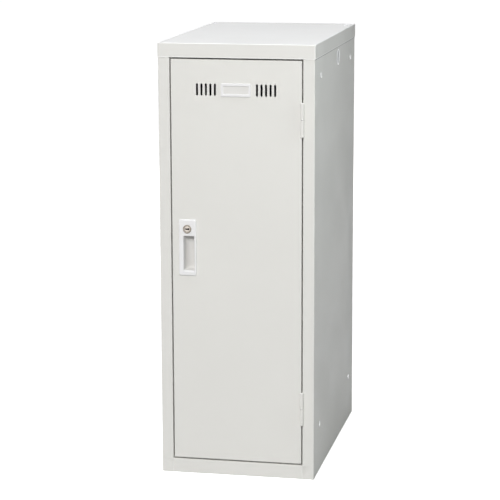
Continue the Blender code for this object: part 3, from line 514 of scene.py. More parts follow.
def addFoldHighlightParts(group, given):
    # painted highlight along the edges of a box: each coordinate counts from 0 at its width inside
    # the face to 1 at the face, and an edge is where two of them add up to more than 1
    away = addVector(group, "SUBTRACT", objectPlace(group), given["middle"])
    away = addVector(group, "ABSOLUTE", away)
    away = addVector(group, "SUBTRACT", away, given["inside"])
    parted = addNode(group, "ShaderNodeSeparateXYZ", {0: away}).outputs
    x, y, z = (addMath(group, "DIVIDE", part, given["foldWidth"], clamp=True) for part in parted)
    total = addMath(group, "ADD", addMath(group, "ADD", x, y), z)
    folded = addMath(group, "SUBTRACT", total, 1.0, clamp=True)
    folded = addMath(group, "MULTIPLY", folded, given["foldAmount"])
    return {"colour": addMix(group, folded, given["colour"], given["foldLight"])}


def addSeamShadowParts(group, given):
    # a painted shadow line at one height, on the faces that lie further out than a reach
    parted = addNode(group, "ShaderNodeSeparateXYZ", {0: objectPlace(group)}).outputs
    away = addMath(group, "SUBTRACT", parted["Z"], given["seamHeight"])
    away = addMath(group, "ABSOLUTE", away)
    away = addMath(group, "DIVIDE", away, given["seamWidth"])
    near = addMath(group, "SUBTRACT", 1.0, away, clamp=True)
    across = addMath(group, "ABSOLUTE", parted["X"])
    outside = addMath(group, "GREATER_THAN", across, given["seamReach"])
    dust = addMath(group, "MULTIPLY", near, outside)
    return {"colour": addMix(group, dust, given["colour"], given["dust"])}


# What the groups' inputs start from; each material gives its own
grey, light, dark, middle = (0.7, 0.7, 0.7, 1), (0.9, 0.9, 0.9, 1), (0.1, 0.1, 0.1, 1), (0, 0, 0)
relief = {"bump": 0.2, "depth": 0.00002}
tone = {"colour": grey, "edge": light, "drift": 0.03, "cloud": 6.0}
recess = {"colour": grey, "deep": dark, "place": middle}
foldEdge = {"colour": grey, "foldLight": light, "middle": middle, "inside": middle}
seam = {"colour": grey, "dust": dark, "seamHeight": 0.8, "seamWidth": 0.001, "seamReach": 0.1}
groups = {
    name: newGroup(name, addParts, inputs)
    for name, addParts, inputs in (
        ("toneDrift", addToneParts, {**tone, "edgeRadius": 0.0012, "edgeAmount": 0.3}),
        ("wipedSheen", addSheenParts, {"low": 0.3, "high": 0.45, "wipe": 9.0}),
        ("peelNormal", addPeelParts, {"peel": 260.0, "grain": 1400.0, **relief}),
        ("latheRings", addLatheParts, {"place": middle, "pitch": 0.0002, **relief}),
        ("drawnLines", addDrawnParts, {"stretch": (4, 900, 900), **relief}),
        ("recessTone", addRecessShadeParts, {**recess, "deepReach": 0.005, "deepFrom": 0.001}),
        ("foldLight", addFoldHighlightParts, {**foldEdge, "foldWidth": 0.002, "foldAmount": 0.5}),
        ("seamLine", addSeamShadowParts, seam),
    )
}


def useGroup(tree, name, look, **given):
    # each input takes what is given under its name, or else the look's value
    made = addNode(tree, "ShaderNodeGroup", node_tree=groups[name])
    for socket in made.inputs:
        value = given[socket.name] if socket.name in given else look[socket.name]
        if isinstance(value, bpy.types.NodeSocket):
            tree.links.new(value, socket)
        else:
            socket.default_value = (*value, 1) if socket.type == "RGBA" else value
    return made.outputs


def newMaterial(name, **fixed):
    # a Principled shader with its constant values set on its own sockets
    material = bpy.data.materials.new(name)
    material.use_nodes = True
    tree = material.node_tree
    shader = tree.nodes["Principled BSDF"]
    for label, value in fixed.items():
        shader.inputs[label.replace("_", " ")].default_value = value
    return material, tree, shader.inputs


def linkShader(tree, shader, colour, rough, normal):
    for source, label in ((colour, "Base Color"), (rough, "Roughness"), (normal, "Normal")):
        tree.links.new(source, shader[label])


def placeFrom(tree, centre):
    # object coordinates counted from a centre
    inputs = {"Vector": objectPlace(tree), "Location": tuple(-value for value in centre)}
    return addNode(tree, "ShaderNodeMapping", inputs).outputs[0]


def coatMaterial(name, look, centre=None, seamHeight=None, folds=None):
    # paint, moulded plastic, rubber or card: tone, wiped sheen and a fine relief; a moulding may
    # have painted shade in a recess from its centre on, and paint a painted shadow line at a seam
    # and a painted highlight on the folded edges of a box (low, high)
    material, tree, shader = newMaterial(name, Metallic=0.0, Specular_IOR_Level=look["gloss"])
    colour = useGroup(tree, "toneDrift", look)["colour"]
    if centre is not None:
        place = placeFrom(tree, centre)
        colour = useGroup(tree, "recessTone", look, colour=colour, place=place)["colour"]
    if seamHeight is not None:
        colour = useGroup(tree, "seamLine", look, colour=colour, seamHeight=seamHeight)["colour"]
    if folds is not None:
        low, high = folds
        box = {"middle": (low + high) / 2, "inside": (high - low) / 2 - look["foldWidth"]}
        colour = useGroup(tree, "foldLight", look, colour=colour, **box)["colour"]
    rough = useGroup(tree, "wipedSheen", look)["roughness"]
    linkShader(tree, shader, colour, rough, useGroup(tree, "peelNormal", look)["normal"])
    return material


def metalMaterial(name, look, centre=None):
    # plated metal: the long lines of drawing and rolling, or lathe rings round a centre with
    # painted shade in the recess
    material, tree, shader = newMaterial(name, Metallic=1.0)
    colour = useGroup(tree, "toneDrift", look)["colour"]
    if centre is None:
        marks = useGroup(tree, "drawnLines", look)
    else:
        place = placeFrom(tree, centre)
        marks = useGroup(tree, "latheRings", look, place=place)
        colour = useGroup(tree, "recessTone", look, colour=colour, place=place)["colour"]
    rough = addRange(tree, marks["mark"], 0.3, 0.7, look["low"], look["high"])
    linkShader(tree, shader, colour, rough, marks["normal"])
    return material


# Looks: colours, how they change at edges, the clouds' scale, roughness from low to high, relief
enamel = {
    "colour": (0.735, 0.732, 0.703),
    # painted highlight: much lighter along rounded edges
    "edge": (0.90, 0.90, 0.88),
    # painted shadow under the lid's edge, on the side panels
    "dust": (0.10, 0.095, 0.09),
    "seamWidth": 0.0012,
    "seamReach": 0.157,
    # painted highlight along the folded edges of lid and door
    "foldLight": (0.97, 0.97, 0.96),
    "foldWidth": 0.0022,
    "foldAmount": 0.9,
    "drift": 0.05,
    "cloud": 5.0,
    "edgeRadius": 0.0022,
    "edgeAmount": 0.6,
    "gloss": 0.18,
    "low": 0.50,
    "high": 0.60,
    "wipe": 11.0,
    "peel": 300.0,
    "grain": 1500.0,
    "bump": 0.25,
    "depth": 0.00006,
}
doorEnamel = {
    **enamel,
    "colour": (0.74, 0.737, 0.706),
    "wipe": 9.0,
    "foldWidth": 0.0015,
    "foldAmount": 0.5,
}
# the hinges' light edge colour is a painted highlight on the knuckles' rounded ends
hingeEnamel = {**enamel, "colour": (0.745, 0.74, 0.71), "edge": (0.97, 0.97, 0.95), "wipe": 30.0}
moulding = {
    "colour": (0.80, 0.80, 0.805),
    "edge": (0.84, 0.84, 0.845),
    "drift": 0.03,
    "cloud": 30.0,
    "edgeRadius": 0.0006,
    "edgeAmount": 0.25,
    # painted shade: darker with depth behind the bezel's front, as in the finger pocket
    "deep": (0.65, 0.643, 0.625),
    "deepReach": 1.0,
    "deepFrom": 0.010,
    "gloss": 0.35,
    "low": 0.38,
    "high": 0.50,
    "wipe": 40.0,
    "peel": 1200.0,
    "grain": 5000.0,
    "bump": 0.3,
    "depth": 0.00002,
}
plugMoulding = {
    **moulding,
    "colour": (0.95, 0.95, 0.96),
    "edge": (0.98, 0.98, 0.985),
    "edgeAmount": 0.6,
    "gloss": 1.0,
    "low": 0.05,
    "high": 0.12,
    "bump": 0.05,
}
dishMoulding = {**moulding, "colour": (0.60, 0.60, 0.605), "low": 0.55, "high": 0.65}
greyMoulding = {**moulding, "colour": (0.42, 0.42, 0.41), "edge": (0.5, 0.5, 0.49)}
softRubber = {
    **moulding,
    "colour": (0.03, 0.03, 0.03),
    "edge": (0.06, 0.06, 0.06),
    "low": 0.7,
    "high": 0.85,
}
sinteredFerrite = {
    **moulding,
    "colour": (0.07, 0.07, 0.075),
    "edge": (0.11, 0.11, 0.11),
    "low": 0.45,
    "high": 0.6,
    "peel": 2500.0,
    "bump": 0.6,
}
paperStock = {
    **moulding,
    "colour": (0.735, 0.73, 0.71),
    "edge": (0.76, 0.75, 0.73),
    "drift": 0.06,
    "cloud": 60.0,
    "low": 0.7,
    "high": 0.82,
    "peel": 900.0,
    "bump": 0.5,
}
zincPlate = {
    "colour": (0.40, 0.40, 0.395),
    "edge": (0.52, 0.52, 0.51),
    "drift": 0.25,
    "cloud": 220.0,
    "edgeRadius": 0.0005,
    "edgeAmount": 0.4,
    "stretch": (300, 300, 300),
    "bump": 0.25,
    "depth": 0.00002,
    "low": 0.32,
    "high": 0.46,
}
brightChrome = {
    **zincPlate,
    "colour": (0.72, 0.72, 0.73),
    "edge": (0.8, 0.8, 0.8),
    "drift": 0.06,
    "cloud": 40.0,
    "stretch": (3, 700, 700),
    "low": 0.12,
    "high": 0.24,
}
turnedNickel = {
    **zincPlate,
    "colour": (0.43, 0.395, 0.355),
    "edge": (0.56, 0.525, 0.48),
    "drift": 0.08,
    "cloud": 90.0,
    "pitch": 0.00018,
    "bump": 0.35,
    "low": 0.30,
    "high": 0.44,
    # painted shade: near black in the key channel, behind the plug's face
    "deep": (0.012, 0.011, 0.010),
    "deepReach": 0.0055,
    "deepFrom": 0.0008,
}
dullNickel = {
    **turnedNickel,
    "colour": (0.24, 0.215, 0.185),
    "edge": (0.36, 0.33, 0.29),
    "drift": 0.15,
    "low": 0.34,
    "high": 0.48,
}
hingePaint = coatMaterial("hingeEnamel", hingeEnamel)
whitePlastic = coatMaterial("whiteMoulding", moulding)
plugPlastic = coatMaterial("plugMoulding", plugMoulding)
dishPlastic = coatMaterial("dishMoulding", dishMoulding)
greyPlastic = coatMaterial("greyMoulding", greyMoulding)
rubber = coatMaterial("blackRubber", softRubber)
ferrite = coatMaterial("magnetFerrite", sinteredFerrite)
cardPaper = coatMaterial("cardPaper", paperStock)
zinc = metalMaterial("zincPlate", zincPlate)
chromeTube = metalMaterial("chromeTube", brightChrome)
print("materials ready")


# Cabinet: sizes come from the frame's nodes where they can
def boxOf(node):
    low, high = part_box(node)
    return np.array(low), np.array(high)


def halfOf(node):
    # half the box along x, y and z
    low, high = boxOf(node)
    return (high - low) / 2


def boardAt(node, across=alongX, up=alongZ, **moved):
    # a drawing board at the middle of a node's box, with single coordinates moved; it faces the
    # front unless other axes are given
    low, high = boxOf(node)
    place = (low + high) / 2
    for axis, value in moved.items():
        place["xyz".index(axis)] = value
    return makeAxes(place, across, up)


steel = {
    "thick": 0.0008,
    "fold": 0.0015,  # outer radius of a fold
    "innerFold": 0.0007,
    "gap": 0.0003,  # between pieces that touch
    "foldShare": 0.9999,  # keeps an arc's end apart from the next corner
}
cut = {
    "far": 0.01,  # how far cutting shapes reach past a face
    "near": 0.003,
    "clear": 0.002,
    "close": 0.001,
}
cabinet = {
    "jamb": 0.0234,  # from the side to the opening
    "stopDepth": 0.020,  # from the front to the stops
    "plinth": 0.029,
    "seamDrop": 0.0009,  # from the lid's edge down to the painted shadow line
}
thick, fold, innerFold, gap = (steel[size] for size in ("thick", "fold", "innerFold", "gap"))
sheetFold = fold * steel["foldShare"]
panelLow, panelHigh = boxOf("side_panel_right")
lidLow, lidHigh = boxOf("top_cap")
stopX, frontY = panelLow[:2]
sideX, rearY, panelTop = panelHigh
openingX, stopY = sideX - cabinet["jamb"], frontY + cabinet["stopDepth"]
sides = {"right": 1, "left": -1}
heights = ("upper", "lower")
plugPlaces = ("front_upper", "rear_upper", "front_lower", "rear_lower")
# the body's paint has a painted shadow line just under the lid's edge, on the side panels
bodyPaint = coatMaterial("bodyEnamel", enamel, seamHeight=lidLow[2] - cabinet["seamDrop"])
# painted highlight along the lid's folded edges
lidPaint = coatMaterial("lidEnamel", enamel, folds=(lidLow, lidHigh))


def holeTool(board, radius, reach=cut["far"], steps=32):
    # the rod that cuts a hole, as long behind the board as before it
    return rodShell(board, radius, -reach, reach, steps)


def sheetMesh(shell, facing):
    # an open shell as sheet steel, with the shell on its outside
    return thicken(makeMesh([shell], facing), thick)


def panMesh(board, halfAcross, halfUp, path, radii):
    # rounded outlines stacked along a path of (inset, level), the last one closed
    inset, levels = roundCorners(path, radii).T
    rings = evenRing(halfAcross - inset, halfUp - inset, np.maximum(fold - inset, 0))
    return sheetMesh(ringStack(board, rings, levels, (-1,)), board[3])


def stripMesh(board, path, radii, levels, facing, keep=None):
    # a path with rounded folds, carried through the levels
    return sheetMesh(stripShell(board, roundCorners(path, radii), levels, keep), facing)


def trayMesh(node):
    # up the skirt, round the fold and over the top
    across, up, out = halfOf(node)
    path = [(0, -out), (0, out), (fold, out)]
    return panMesh(boardAt(node, up=alongY), across, up, path, [0, sheetFold, 0])


# Lid: a shallow box turned down over the cabinet
lid = {"plugHole": 0.0048}


def makeLid():
    boards = [boardAt("top_plug_" + sideName, up=alongY) for sideName in sides]
    mesh = carve(trayMesh("top_cap"), [holeTool(board, lid["plugHole"]) for board in boards])
    finishPiece("top_cap", mesh, lidPaint, name="lidSheet")


# Side panels: one sheet folded round from the stop, past jamb and stile, to the rear flange
sidePanel = {
    "rearFlange": 0.015,
    "footFlange": 0.018,
    "headFlange": 0.012,
    "frontRelief": 0.0219,  # from the front to where the foot and head flanges start
    "rearRelief": 0.003,
    "plugHole": 0.0048,
    "cableHole": 0.0158,
    "headHole": 0.0057,
    "catchSlot": 0.0363,
    "bumperHole": 0.0018,
    "screwHole": 0.0017,
}


def makeSidePanel(sideName, side):
    # the plan outline carried up the cabinet; below the plinth's top the fold at the opening has
    # no radius, so that stile and plinth meet edge to edge as a ground and painted weld does
    flangeFront, flangeRear = frontY + sidePanel["frontRelief"], rearY - sidePanel["rearRelief"]
    corners = [
        (stopX, stopY),
        (openingX, stopY),
        (openingX, frontY),
        (sideX, frontY),
        (sideX, flangeFront),
        (sideX, flangeRear),
        (sideX, rearY),
        (sideX - sidePanel["rearFlange"], rearY),
    ]
    plinth = cabinet["plinth"]
    levels = np.array([0, fold, plinth - fold, plinth, panelTop - fold, panelTop])
    jambs = (0, 0, 0, fold, fold, fold)
    plans = [roundCorners(corners, [0, innerFold, jamb, fold, 0, 0, fold, 0]) for jamb in jambs]
    across, back = np.moveaxis(np.array(plans), -1, 0)
    keep = np.ones((len(levels) - 1, across.shape[1] - 1), bool)
    keep[[0, -1], 5 * (arcSteps + 1) - 1] = False  # where the flanges turn in
    shells = [gridShell(inSpace(planBoard, across, back, levels[:, None]), keep=keep)]
    for reach, edge, turn in (
        (sidePanel["footFlange"], 0, 1),
        (sidePanel["headFlange"], panelTop, -1),
    ):
        path = [(sideX, edge + turn * fold), (sideX, edge), (sideX - reach, edge)]
        path = roundCorners(path, [0, sheetFold, 0])
        shells.append(stripShell(frontBoard, path, (-flangeFront, -flangeRear)))
    mirrored = [(points * (side, 1, 1), faces) for points, faces in shells]
    mesh = thicken(makeMesh(mirrored, (side, 0, 0)), thick)
    nodes = ["side_plug_" + sideName + "_" + place for place in plugPlaces]
    tools = [holeTool(boardAt(node, alongY), sidePanel["plugHole"]) for node in nodes]
    board = boardAt("cable_hole_plug_" + sideName, alongY)
    tools.append(holeTool(board, sidePanel["cableHole"], steps=64))
    board = boardAt("top_plug_" + sideName, up=alongY)
    tools.append(holeTool(board, sidePanel["headHole"]))
    if side < 0:
        tools += stopTools()
    finishPiece("side_panel_" + sideName, carve(mesh, tools), bodyPaint)


def stopTools():
    # the notch of the magnet catch, its screw holes and the bumpers' holes, in the left stop
    low, high = boxOf("catch_case")
    half, middle, near = sidePanel["catchSlot"] / 2, (low + high)[2] / 2, cut["near"]
    tools = [
        blockShell(
            (low[0] - gap, stopY - near, middle - half),
            (-stopX + near, stopY + near, middle + half),
        )
    ]
    for stem, radius in (("door_bumper_", "bumperHole"), ("catch_screw_", "screwHole")):
        for place in heights:
            board = boardAt(stem + place, y=stopY)
            tools.append(holeTool(board, sidePanel[radius], near, 24))
    return tools


# Rails across the opening: plinth with its sill and stop, and the rail behind the lid
rails = {"stop": 0.014, "plinthFoot": 0.015, "topClearance": 0.002}


def makeRail(name, node, path, radii, stopFrom):
    # the (y, z) path carried across; from its corner stopFrom on it fits between the side stops
    narrow, steps = stopX - gap, arcSteps + 1
    keep = np.ones((len(path) * steps - 1, 3), bool)
    keep[stopFrom * steps :, [0, 2]] = False
    columns = (-openingX, -narrow, narrow, openingX)
    mesh = stripMesh(sideBoard, path, radii, columns, (0, -1, 0), keep)
    finishPiece(node, mesh, bodyPaint, name=name)


def makeRails():
    sill, head = cabinet["plinth"], lidLow[2]
    makeRail(
        "plinthRail",
        "front_rail",
        [
            (frontY + rails["plinthFoot"], 0),
            (frontY, 0),
            (frontY, sill),
            (stopY, sill),
            (stopY, sill + rails["stop"]),
        ],
        [0, fold, fold, innerFold, 0],
        3,
    )
    makeRail(
        "headRail",
        "top_rail",
        [
            (frontY, panelTop - rails["topClearance"]),
            (frontY, head),
            (stopY, head),
            (stopY, head - rails["stop"]),
        ],
        [0, fold, innerFold, 0],
        2,
    )


makeLid()
for sideName, side in sides.items():
    makeSidePanel(sideName, side)
makeRails()
print("cabinet shell ready")

# Door: a pan with a turned-in rim, vent slots and the cut-outs for handle and card holder
doorLow, doorHigh = boxOf("door_skin")
handleLow, handleHigh = boxOf("handle_housing")
doorFace = doorLow[1]
faceBoard = makeAxes((0, doorFace, 0), alongX, alongZ)
door = {
    "rim": 0.012,
    "topGap": 0.0009,  # how much wider the gaps above and below are than the solids' own
    "sillGap": 0.0006,
    "slotWidth": 0.0042,
    "slotHeight": 0.024,
    "slotPitch": 0.00905,
    "slotsInGroup": 5,
    "groupSpacing": 0.1206,
    "slotLip": 0.0003,  # how far the pressed edge of a slot rolls in
    "handleCorner": 0.003,
    "handleInset": 0.0024,
    "pegHole": 0.0013,
    "pegReach": 0.028475,
}
skinLow, skinHigh = doorLow + (0, 0, door["sillGap"]), doorHigh - (0, 0, door["topGap"])
# painted highlight along the door's folded edges
doorPaint = coatMaterial("doorEnamel", doorEnamel, folds=(skinLow, skinHigh))


def slotTools():
    # each slot's outline widens by a quarter-round at the door's face
    board = boardAt("card_frame", x=0, y=doorFace)
    lip, angle = door["slotLip"], quarterTurn(4)
    widening = np.concatenate([[lip, lip], lip * (1 - np.sin(angle)), [0]])
    levels = np.concatenate([[cut["clear"], 0], -lip * (1 - np.cos(angle)), [-cut["near"]]])
    halfWide, halfHigh = door["slotWidth"] / 2 + widening, door["slotHeight"] / 2 + widening
    middle = (door["slotsInGroup"] - 1) / 2
    tools = []
    for group in (-1, 1):
        for number in range(door["slotsInGroup"]):
            x = group * door["groupSpacing"] / 2 + (number - middle) * door["slotPitch"]
            rings = ringOf(x - halfWide, x + halfWide, -halfHigh, halfHigh, halfWide - 1e-6)
            tools.append(ringStack(board, rings, levels))
    return tools


def pegBoards():
    return [boardAt("card_frame", x=side * door["pegReach"], y=doorFace) for side in (-1, 1)]


def makeDoor():
    # from the rim's edge over the back fold, up the side and over the front fold
    halfX, halfZ = (skinHigh - skinLow)[[0, 2]] / 2
    depth, inset, near = doorHigh[1] - doorFace, door["handleInset"], cut["near"]
    path = [(door["rim"], -depth), (0, -depth), (0, 0), (fold, 0)]
    board = boardAt("door_skin", y=doorFace, z=(skinLow + skinHigh)[2] / 2)
    mesh = panMesh(board, halfX, halfZ, path, [0, fold, sheetFold, 0])
    low, high = handleLow + inset, handleHigh - inset
    opening = ringOf(low[0], high[0], low[2], high[2], door["handleCorner"])
    tools = slotTools() + [prismShell(faceBoard, opening, near, -near)]
    tools += [holeTool(board, door["pegHole"], near, 24) for board in pegBoards()]
    finishPiece("door_skin", carve(mesh, tools), doorPaint, "door", name="doorSheet")


makeDoor()
print("door ready")

# Handle housing: a bezel on the door, the cup behind it with the finger pocket and lock's room
handle = {
    "bezel": 0.0032,
    "bezelCorner": 0.004,
    "bezelEdge": 0.0029,
    "cupInset": 0.0027,
    "cupCorner": 0.003,
    "cupEdge": 0.001,
    "pocketRight": 0.0038,  # from the bezel's right edge
    "pocketWidth": 0.0223,
    "pocketBottom": 0.0112,
    "pocketHeight": 0.0702,
    "pocketDepth": 0.0135,
    "pocketCorner": 0.002,
    "mouth": 0.0010,  # radius round the pocket's mouth
    "sill": 0.0034,  # and at its lower end
    "topCut": 0.0025,  # the bezel ends this far under the box's top
    "scoop": 0.009,
    "cheek": 0.0155,  # radius from the floor up the left wall
    "lockTop": 0.0219,  # from the box's top to the lock's axis
    "lockHole": 0.0078,
    "frontWall": 0.0032,
    "roomWall": 0.0015,
    "roomDepth": 0.03,
    "snapReach": 0.0011,
    "snapDepth": 0.004,
    "snapHeight": 0.009,
    "snapShare": 0.30,
}
bezelFront = gap + handle["bezel"]
bezelX, bezelZ = halfOf("handle_housing")[[0, 2]]
bezelTop = bezelZ - handle["topCut"]
handleBoard = boardAt("handle_housing", y=doorFace)
lockBoard = boardAt("handle_housing", y=doorFace, z=handleHigh[2] - handle["lockTop"])
faceCentre = lockBoard[0] - (0, bezelFront, 0)
# the handle's moulding carries painted shade, darker with depth behind the bezel's front
handlePlastic = coatMaterial("handleMoulding", moulding, faceCentre)


def bezelRing(inset, corner):
    return ringOf(inset - bezelX, bezelX - inset, inset - bezelZ, bezelTop - inset, corner, 8)


def bezelShell():
    # the bezel's outline, drawn in by a quarter-round at its front edge
    edge = handle["bezelEdge"]
    levels = np.append(gap, bezelFront - edge + edge * np.sin(quarterTurn(7)))
    inset = quarterLoss(bezelFront - levels, edge)
    return ringStack(handleBoard, bezelRing(inset, handle["bezelCorner"] - inset), levels)


def cupShell():
    # the cup's outline behind the bezel, drawn in by a quarter-round at its back edge
    back, edge = doorFace - handleHigh[1], handle["cupEdge"]
    levels = np.append(back + edge * (1 - np.cos(quarterTurn(5))), bezelFront / 2)
    loss = quarterLoss(levels - back, edge)
    rings = bezelRing(handle["cupInset"] + loss, handle["cupCorner"] - loss)
    return ringStack(handleBoard, rings, levels)


def pocketEdges():
    right, bottom = bezelX - handle["pocketRight"], -bezelZ + handle["pocketBottom"]
    return right - handle["pocketWidth"], right, bottom, bottom + handle["pocketHeight"]


def pocketShell():
    # the pocket's outline at each depth: drawn in round the floor, scooped at the lower end and
    # opened by a radius at its mouth, a wider one below
    left, right, bottom, top = pocketEdges()
    floor, sill, corner = -handle["pocketDepth"], handle["sill"], handle["pocketCorner"]
    lower = floor + handle["scoop"] * (1 - np.cos(quarterTurn(15)))
    upper = bezelFront - sill + sill * np.sin(quarterTurn(12))
    levels = np.concatenate([lower, upper, [bezelFront + cut["clear"]]])
    drawn, scooped, cheek = (
        quarterLoss(levels - floor, radius)
        for radius in (corner, handle["scoop"], handle["cheek"])
    )
    opened, openedBelow = (
        quarterLoss(bezelFront - levels, radius) for radius in (handle["mouth"], sill)
    )
    rings = ringOf(
        left + np.maximum(drawn, cheek) - opened,
        right - drawn + opened,
        bottom + np.maximum(drawn, scooped) - openedBelow,
        top - drawn + opened,
        corner + opened,
    )
    return ringStack(handleBoard, rings, levels)


def snapShells():
    # wedges on the cup's flanks that hook behind the door's sheet and thin out backwards
    wall, reach = bezelX - handle["cupInset"], handle["snapReach"]
    halfHigh, start = handle["snapHeight"] / 2, -thick - gap
    shells = []
    for side in (-1, 1):
        inner = np.full(2, side * (wall - reach))
        outer = side * np.array([wall + reach, wall + reach / 4])
        left, right = np.minimum(inner, outer), np.maximum(inner, outer)
        for level in (-1, 1):
            z = level * handle["snapShare"] * 2 * bezelZ
            rings = ringOf(left, right, z - halfHigh, z + halfHigh, 0, 1)
            shells.append(ringStack(handleBoard, rings, (start, start - handle["snapDepth"])))
    return shells


def roomShell():
    # the lock's room, open behind and closed by the front wall
    wall = handle["roomWall"]
    right, top = bezelX - handle["cupInset"] - wall, bezelTop - handle["cupInset"] - wall
    ring = ringOf(-right, right, pocketEdges()[3] + wall, top, wall)
    return prismShell(handleBoard, ring, -handle["roomDepth"], bezelFront - handle["frontWall"])


def makeHandle():
    mesh = makeMesh([bezelShell()])
    mesh = carve(mesh, [cupShell()], "UNION")
    mesh = carve(mesh, snapShells(), "UNION")
    mesh = carve(mesh, [pocketShell()])
    mesh = carve(mesh, [roomShell()])
    hole = rodShell(lockBoard, handle["lockHole"], -cut["clear"], cut["far"], 64)
    mesh = carve(mesh, [hole])
    finishPiece("handle_housing", mesh, handlePlastic, "door")


makeHandle()

# Lock: the fixed case, and the plug that turns in it
lock = {
    "caseHead": 0.0086,
    "caseBody": 0.0075,
    "headHeight": 0.0015,
    "wall": 0.0012,
    "edge": 0.0005,
    "rearEdge": 0.0003,
    "boreEdge": 0.00025,
    "bodyDepth": 0.020,
    "neck": 0.003,
    "neckDepth": 0.0244,
    "screwBore": 0.0018,
    "screwDepth": 0.0063,
    "keyWidth": 0.0092,
    "keyHeight": 0.0025,
    "keyCorner": 0.0003,
    "keyRound": 0.0021,
    "keyDepth": 0.012,
    "keyEdge": 0.0002,
}
# both nickels carry painted shade in the key channel behind the plug's face
plugNickel = metalMaterial("turnedNickel", turnedNickel, faceCentre)
caseNickel = metalMaterial("dullNickel", dullNickel, faceCentre)


def makeLockCase():
    headBack, body = gap + bezelFront, lock["caseBody"]
    headFront, rear, bore = headBack + lock["headHeight"], -lock["bodyDepth"], body - lock["wall"]
    corners = [
        (lock["caseHead"], headFront),
        (lock["caseHead"], headBack),
        (body, headBack),
        (body, rear),
        (bore, rear),
        (bore, headFront),
    ]
    radii = [lock["edge"], 0, 0, lock["rearEdge"], 0, lock["boreEdge"]]
    mesh = turnedMesh(lockBoard, corners, radii, 72, 4, True)
    finishPiece("lock_case", mesh, caseNickel, "door")


def makeLockPlug():
    # a turned plug with a screw bore behind, cut by the keyhole: a slot with a rounder end
    face, back = bezelFront + lock["headHeight"], -lock["neckDepth"]
    radius, shoulder = lock["caseBody"] - lock["wall"] - gap, -lock["bodyDepth"] - gap
    corners = [
        (0, face),
        (radius, face),
        (radius, shoulder),
        (lock["neck"], shoulder),
        (lock["neck"], back),
        (lock["screwBore"], back),
        (lock["screwBore"], back + lock["screwDepth"]),
        (0, back + lock["screwDepth"]),
    ]
    radii = [0, lock["edge"], 0, 0, lock["rearEdge"], 0, 0, 0]
    mesh = turnedMesh(lockBoard, corners, radii, 72, 4)
    halfWide, halfHigh, edge = lock["keyWidth"] / 2, lock["keyHeight"] / 2, lock["keyEdge"]
    levels = np.array([face - lock["keyDepth"], face - edge, face, face + cut["clear"]])
    opened = np.array([0, 0, edge, edge])
    slot = evenRing(halfWide + opened, halfHigh + opened, lock["keyCorner"] + opened)
    mesh = carve(mesh, [ringStack(lockBoard, slot, levels)])
    origin, across, up, out = lockBoard
    endBoard = (origin + across * (halfWide - lock["keyRound"]), across, up, out)
    levels[0] += gap
    profile = np.stack([lock["keyRound"] + opened, levels], -1)
    profile = np.concatenate([[(0, levels[0])], profile, [(0, levels[-1])]])
    mesh = carve(mesh, [turnedShell(endBoard, profile, 32)])
    finishPiece("lock_plug", mesh, plugNickel, "lock")


makeLockCase()
makeLockPlug()
print("handle and lock ready")

# Card holder: a moulded frame round a sloped window, and its blank card
card = {
    "thick": 0.0018,
    "corner": 0.0012,
    "edge": 0.0006,
    "side": 0.00425,  # width of the frame beside its window
    "rail": 0.00525,  # and above and below it
    "slope": 0.0003,
    "mouth": 0.0004,
    "margin": 0.0014,  # card hidden behind each edge of the window
    "stock": 0.0004,
    "stockCorner": 0.0006,
    "roomCorner": 0.0002,
    "peg": 0.0010,
    "pegLength": 0.003,
}


def makeCardHolder():
    # one closed loop of outlines: back edge, outer edge, rounded front, window slope, recess
    front, ceiling, hidden = gap + card["thick"], gap + card["stock"] + gap, card["margin"] + gap
    edge, mouth, corner, inner = (card[size] for size in ("edge", "mouth", "corner", "roomCorner"))
    sine, cosine = np.sin(quarterTurn(5)), np.cos(quarterTurn(5))
    outerDraw, mouthDraw = edge * (1 - cosine), mouth * (1 - sine)
    rings = []
    for half, rim in zip(halfOf("card_frame")[[0, 2]], (card["side"], card["rail"])):
        window = half - rim
        behind = [window, window + hidden, window + hidden]
        slope = window + card["slope"] + mouthDraw
        rings.append(np.concatenate([[half], half - outerDraw, slope, behind]))
    outerLevels, mouthLevels = front - edge * (1 - sine), front - mouth * (1 - cosine)
    levels = np.concatenate([[gap], outerLevels, mouthLevels, [ceiling, ceiling, gap]])
    behind = [mouth, inner, inner]
    corners = np.concatenate([[corner], corner - outerDraw, 2 * mouth + mouthDraw, behind])
    board = boardAt("card_frame", x=0, y=doorFace)
    mesh = makeMesh([ringStack(board, evenRing(*rings, corners), levels, (), closedRows=True)])
    pegEnds = -card["pegLength"], gap + card["thick"] / 2
    pegs = [rodShell(board, card["peg"], *pegEnds, 24) for board in pegBoards()]
    mesh = carve(mesh, pegs, "UNION")
    finishPiece("card_frame", mesh, whitePlastic, "door", name="cardHolder")
    low, high = boxOf("name_card")
    paper = ringOf(low[0], high[0], low[2], high[2], card["stockCorner"])
    mesh = makeMesh([prismShell(faceBoard, paper, doorFace - high[1], doorFace - low[1])])
    finishPiece("name_card", mesh, cardPaper, "door", name="blankCard")


makeCardHolder()
print("card holder ready")

# Plugs: snapped into the sheet's holes from outside
plug = {
    "head": 0.0007,
    "headEdge": 0.00045,
    "shank": 0.0045,
    "lip": 0.0016,
    "length": 0.006,
    "barb": 0.0006,
    "cableShank": 0.0155,
    "cableLip": 0.0020,
    "cableRim": 0.0040,
    "cableWall": 0.0015,
    "cableDish": 0.0007,
}


def snapPlugProfile():
    # a flat button with a rounded edge, then shank and barb
    shank, barb, tip = plug["shank"], plug["barb"], -plug["length"]
    top, rim, behind = gap + plug["head"], shank + plug["lip"], -thick - gap
    corners = [
        (0, top),
        (rim, top),
        (rim, gap),
        (shank, gap),
        (shank, behind),
        (shank + gap + barb, behind),
        (shank - barb, tip),
        (0, tip),
    ]
    return roundCorners(corners, [0, plug["headEdge"], 0, 0, 0, 0, 0, 0])


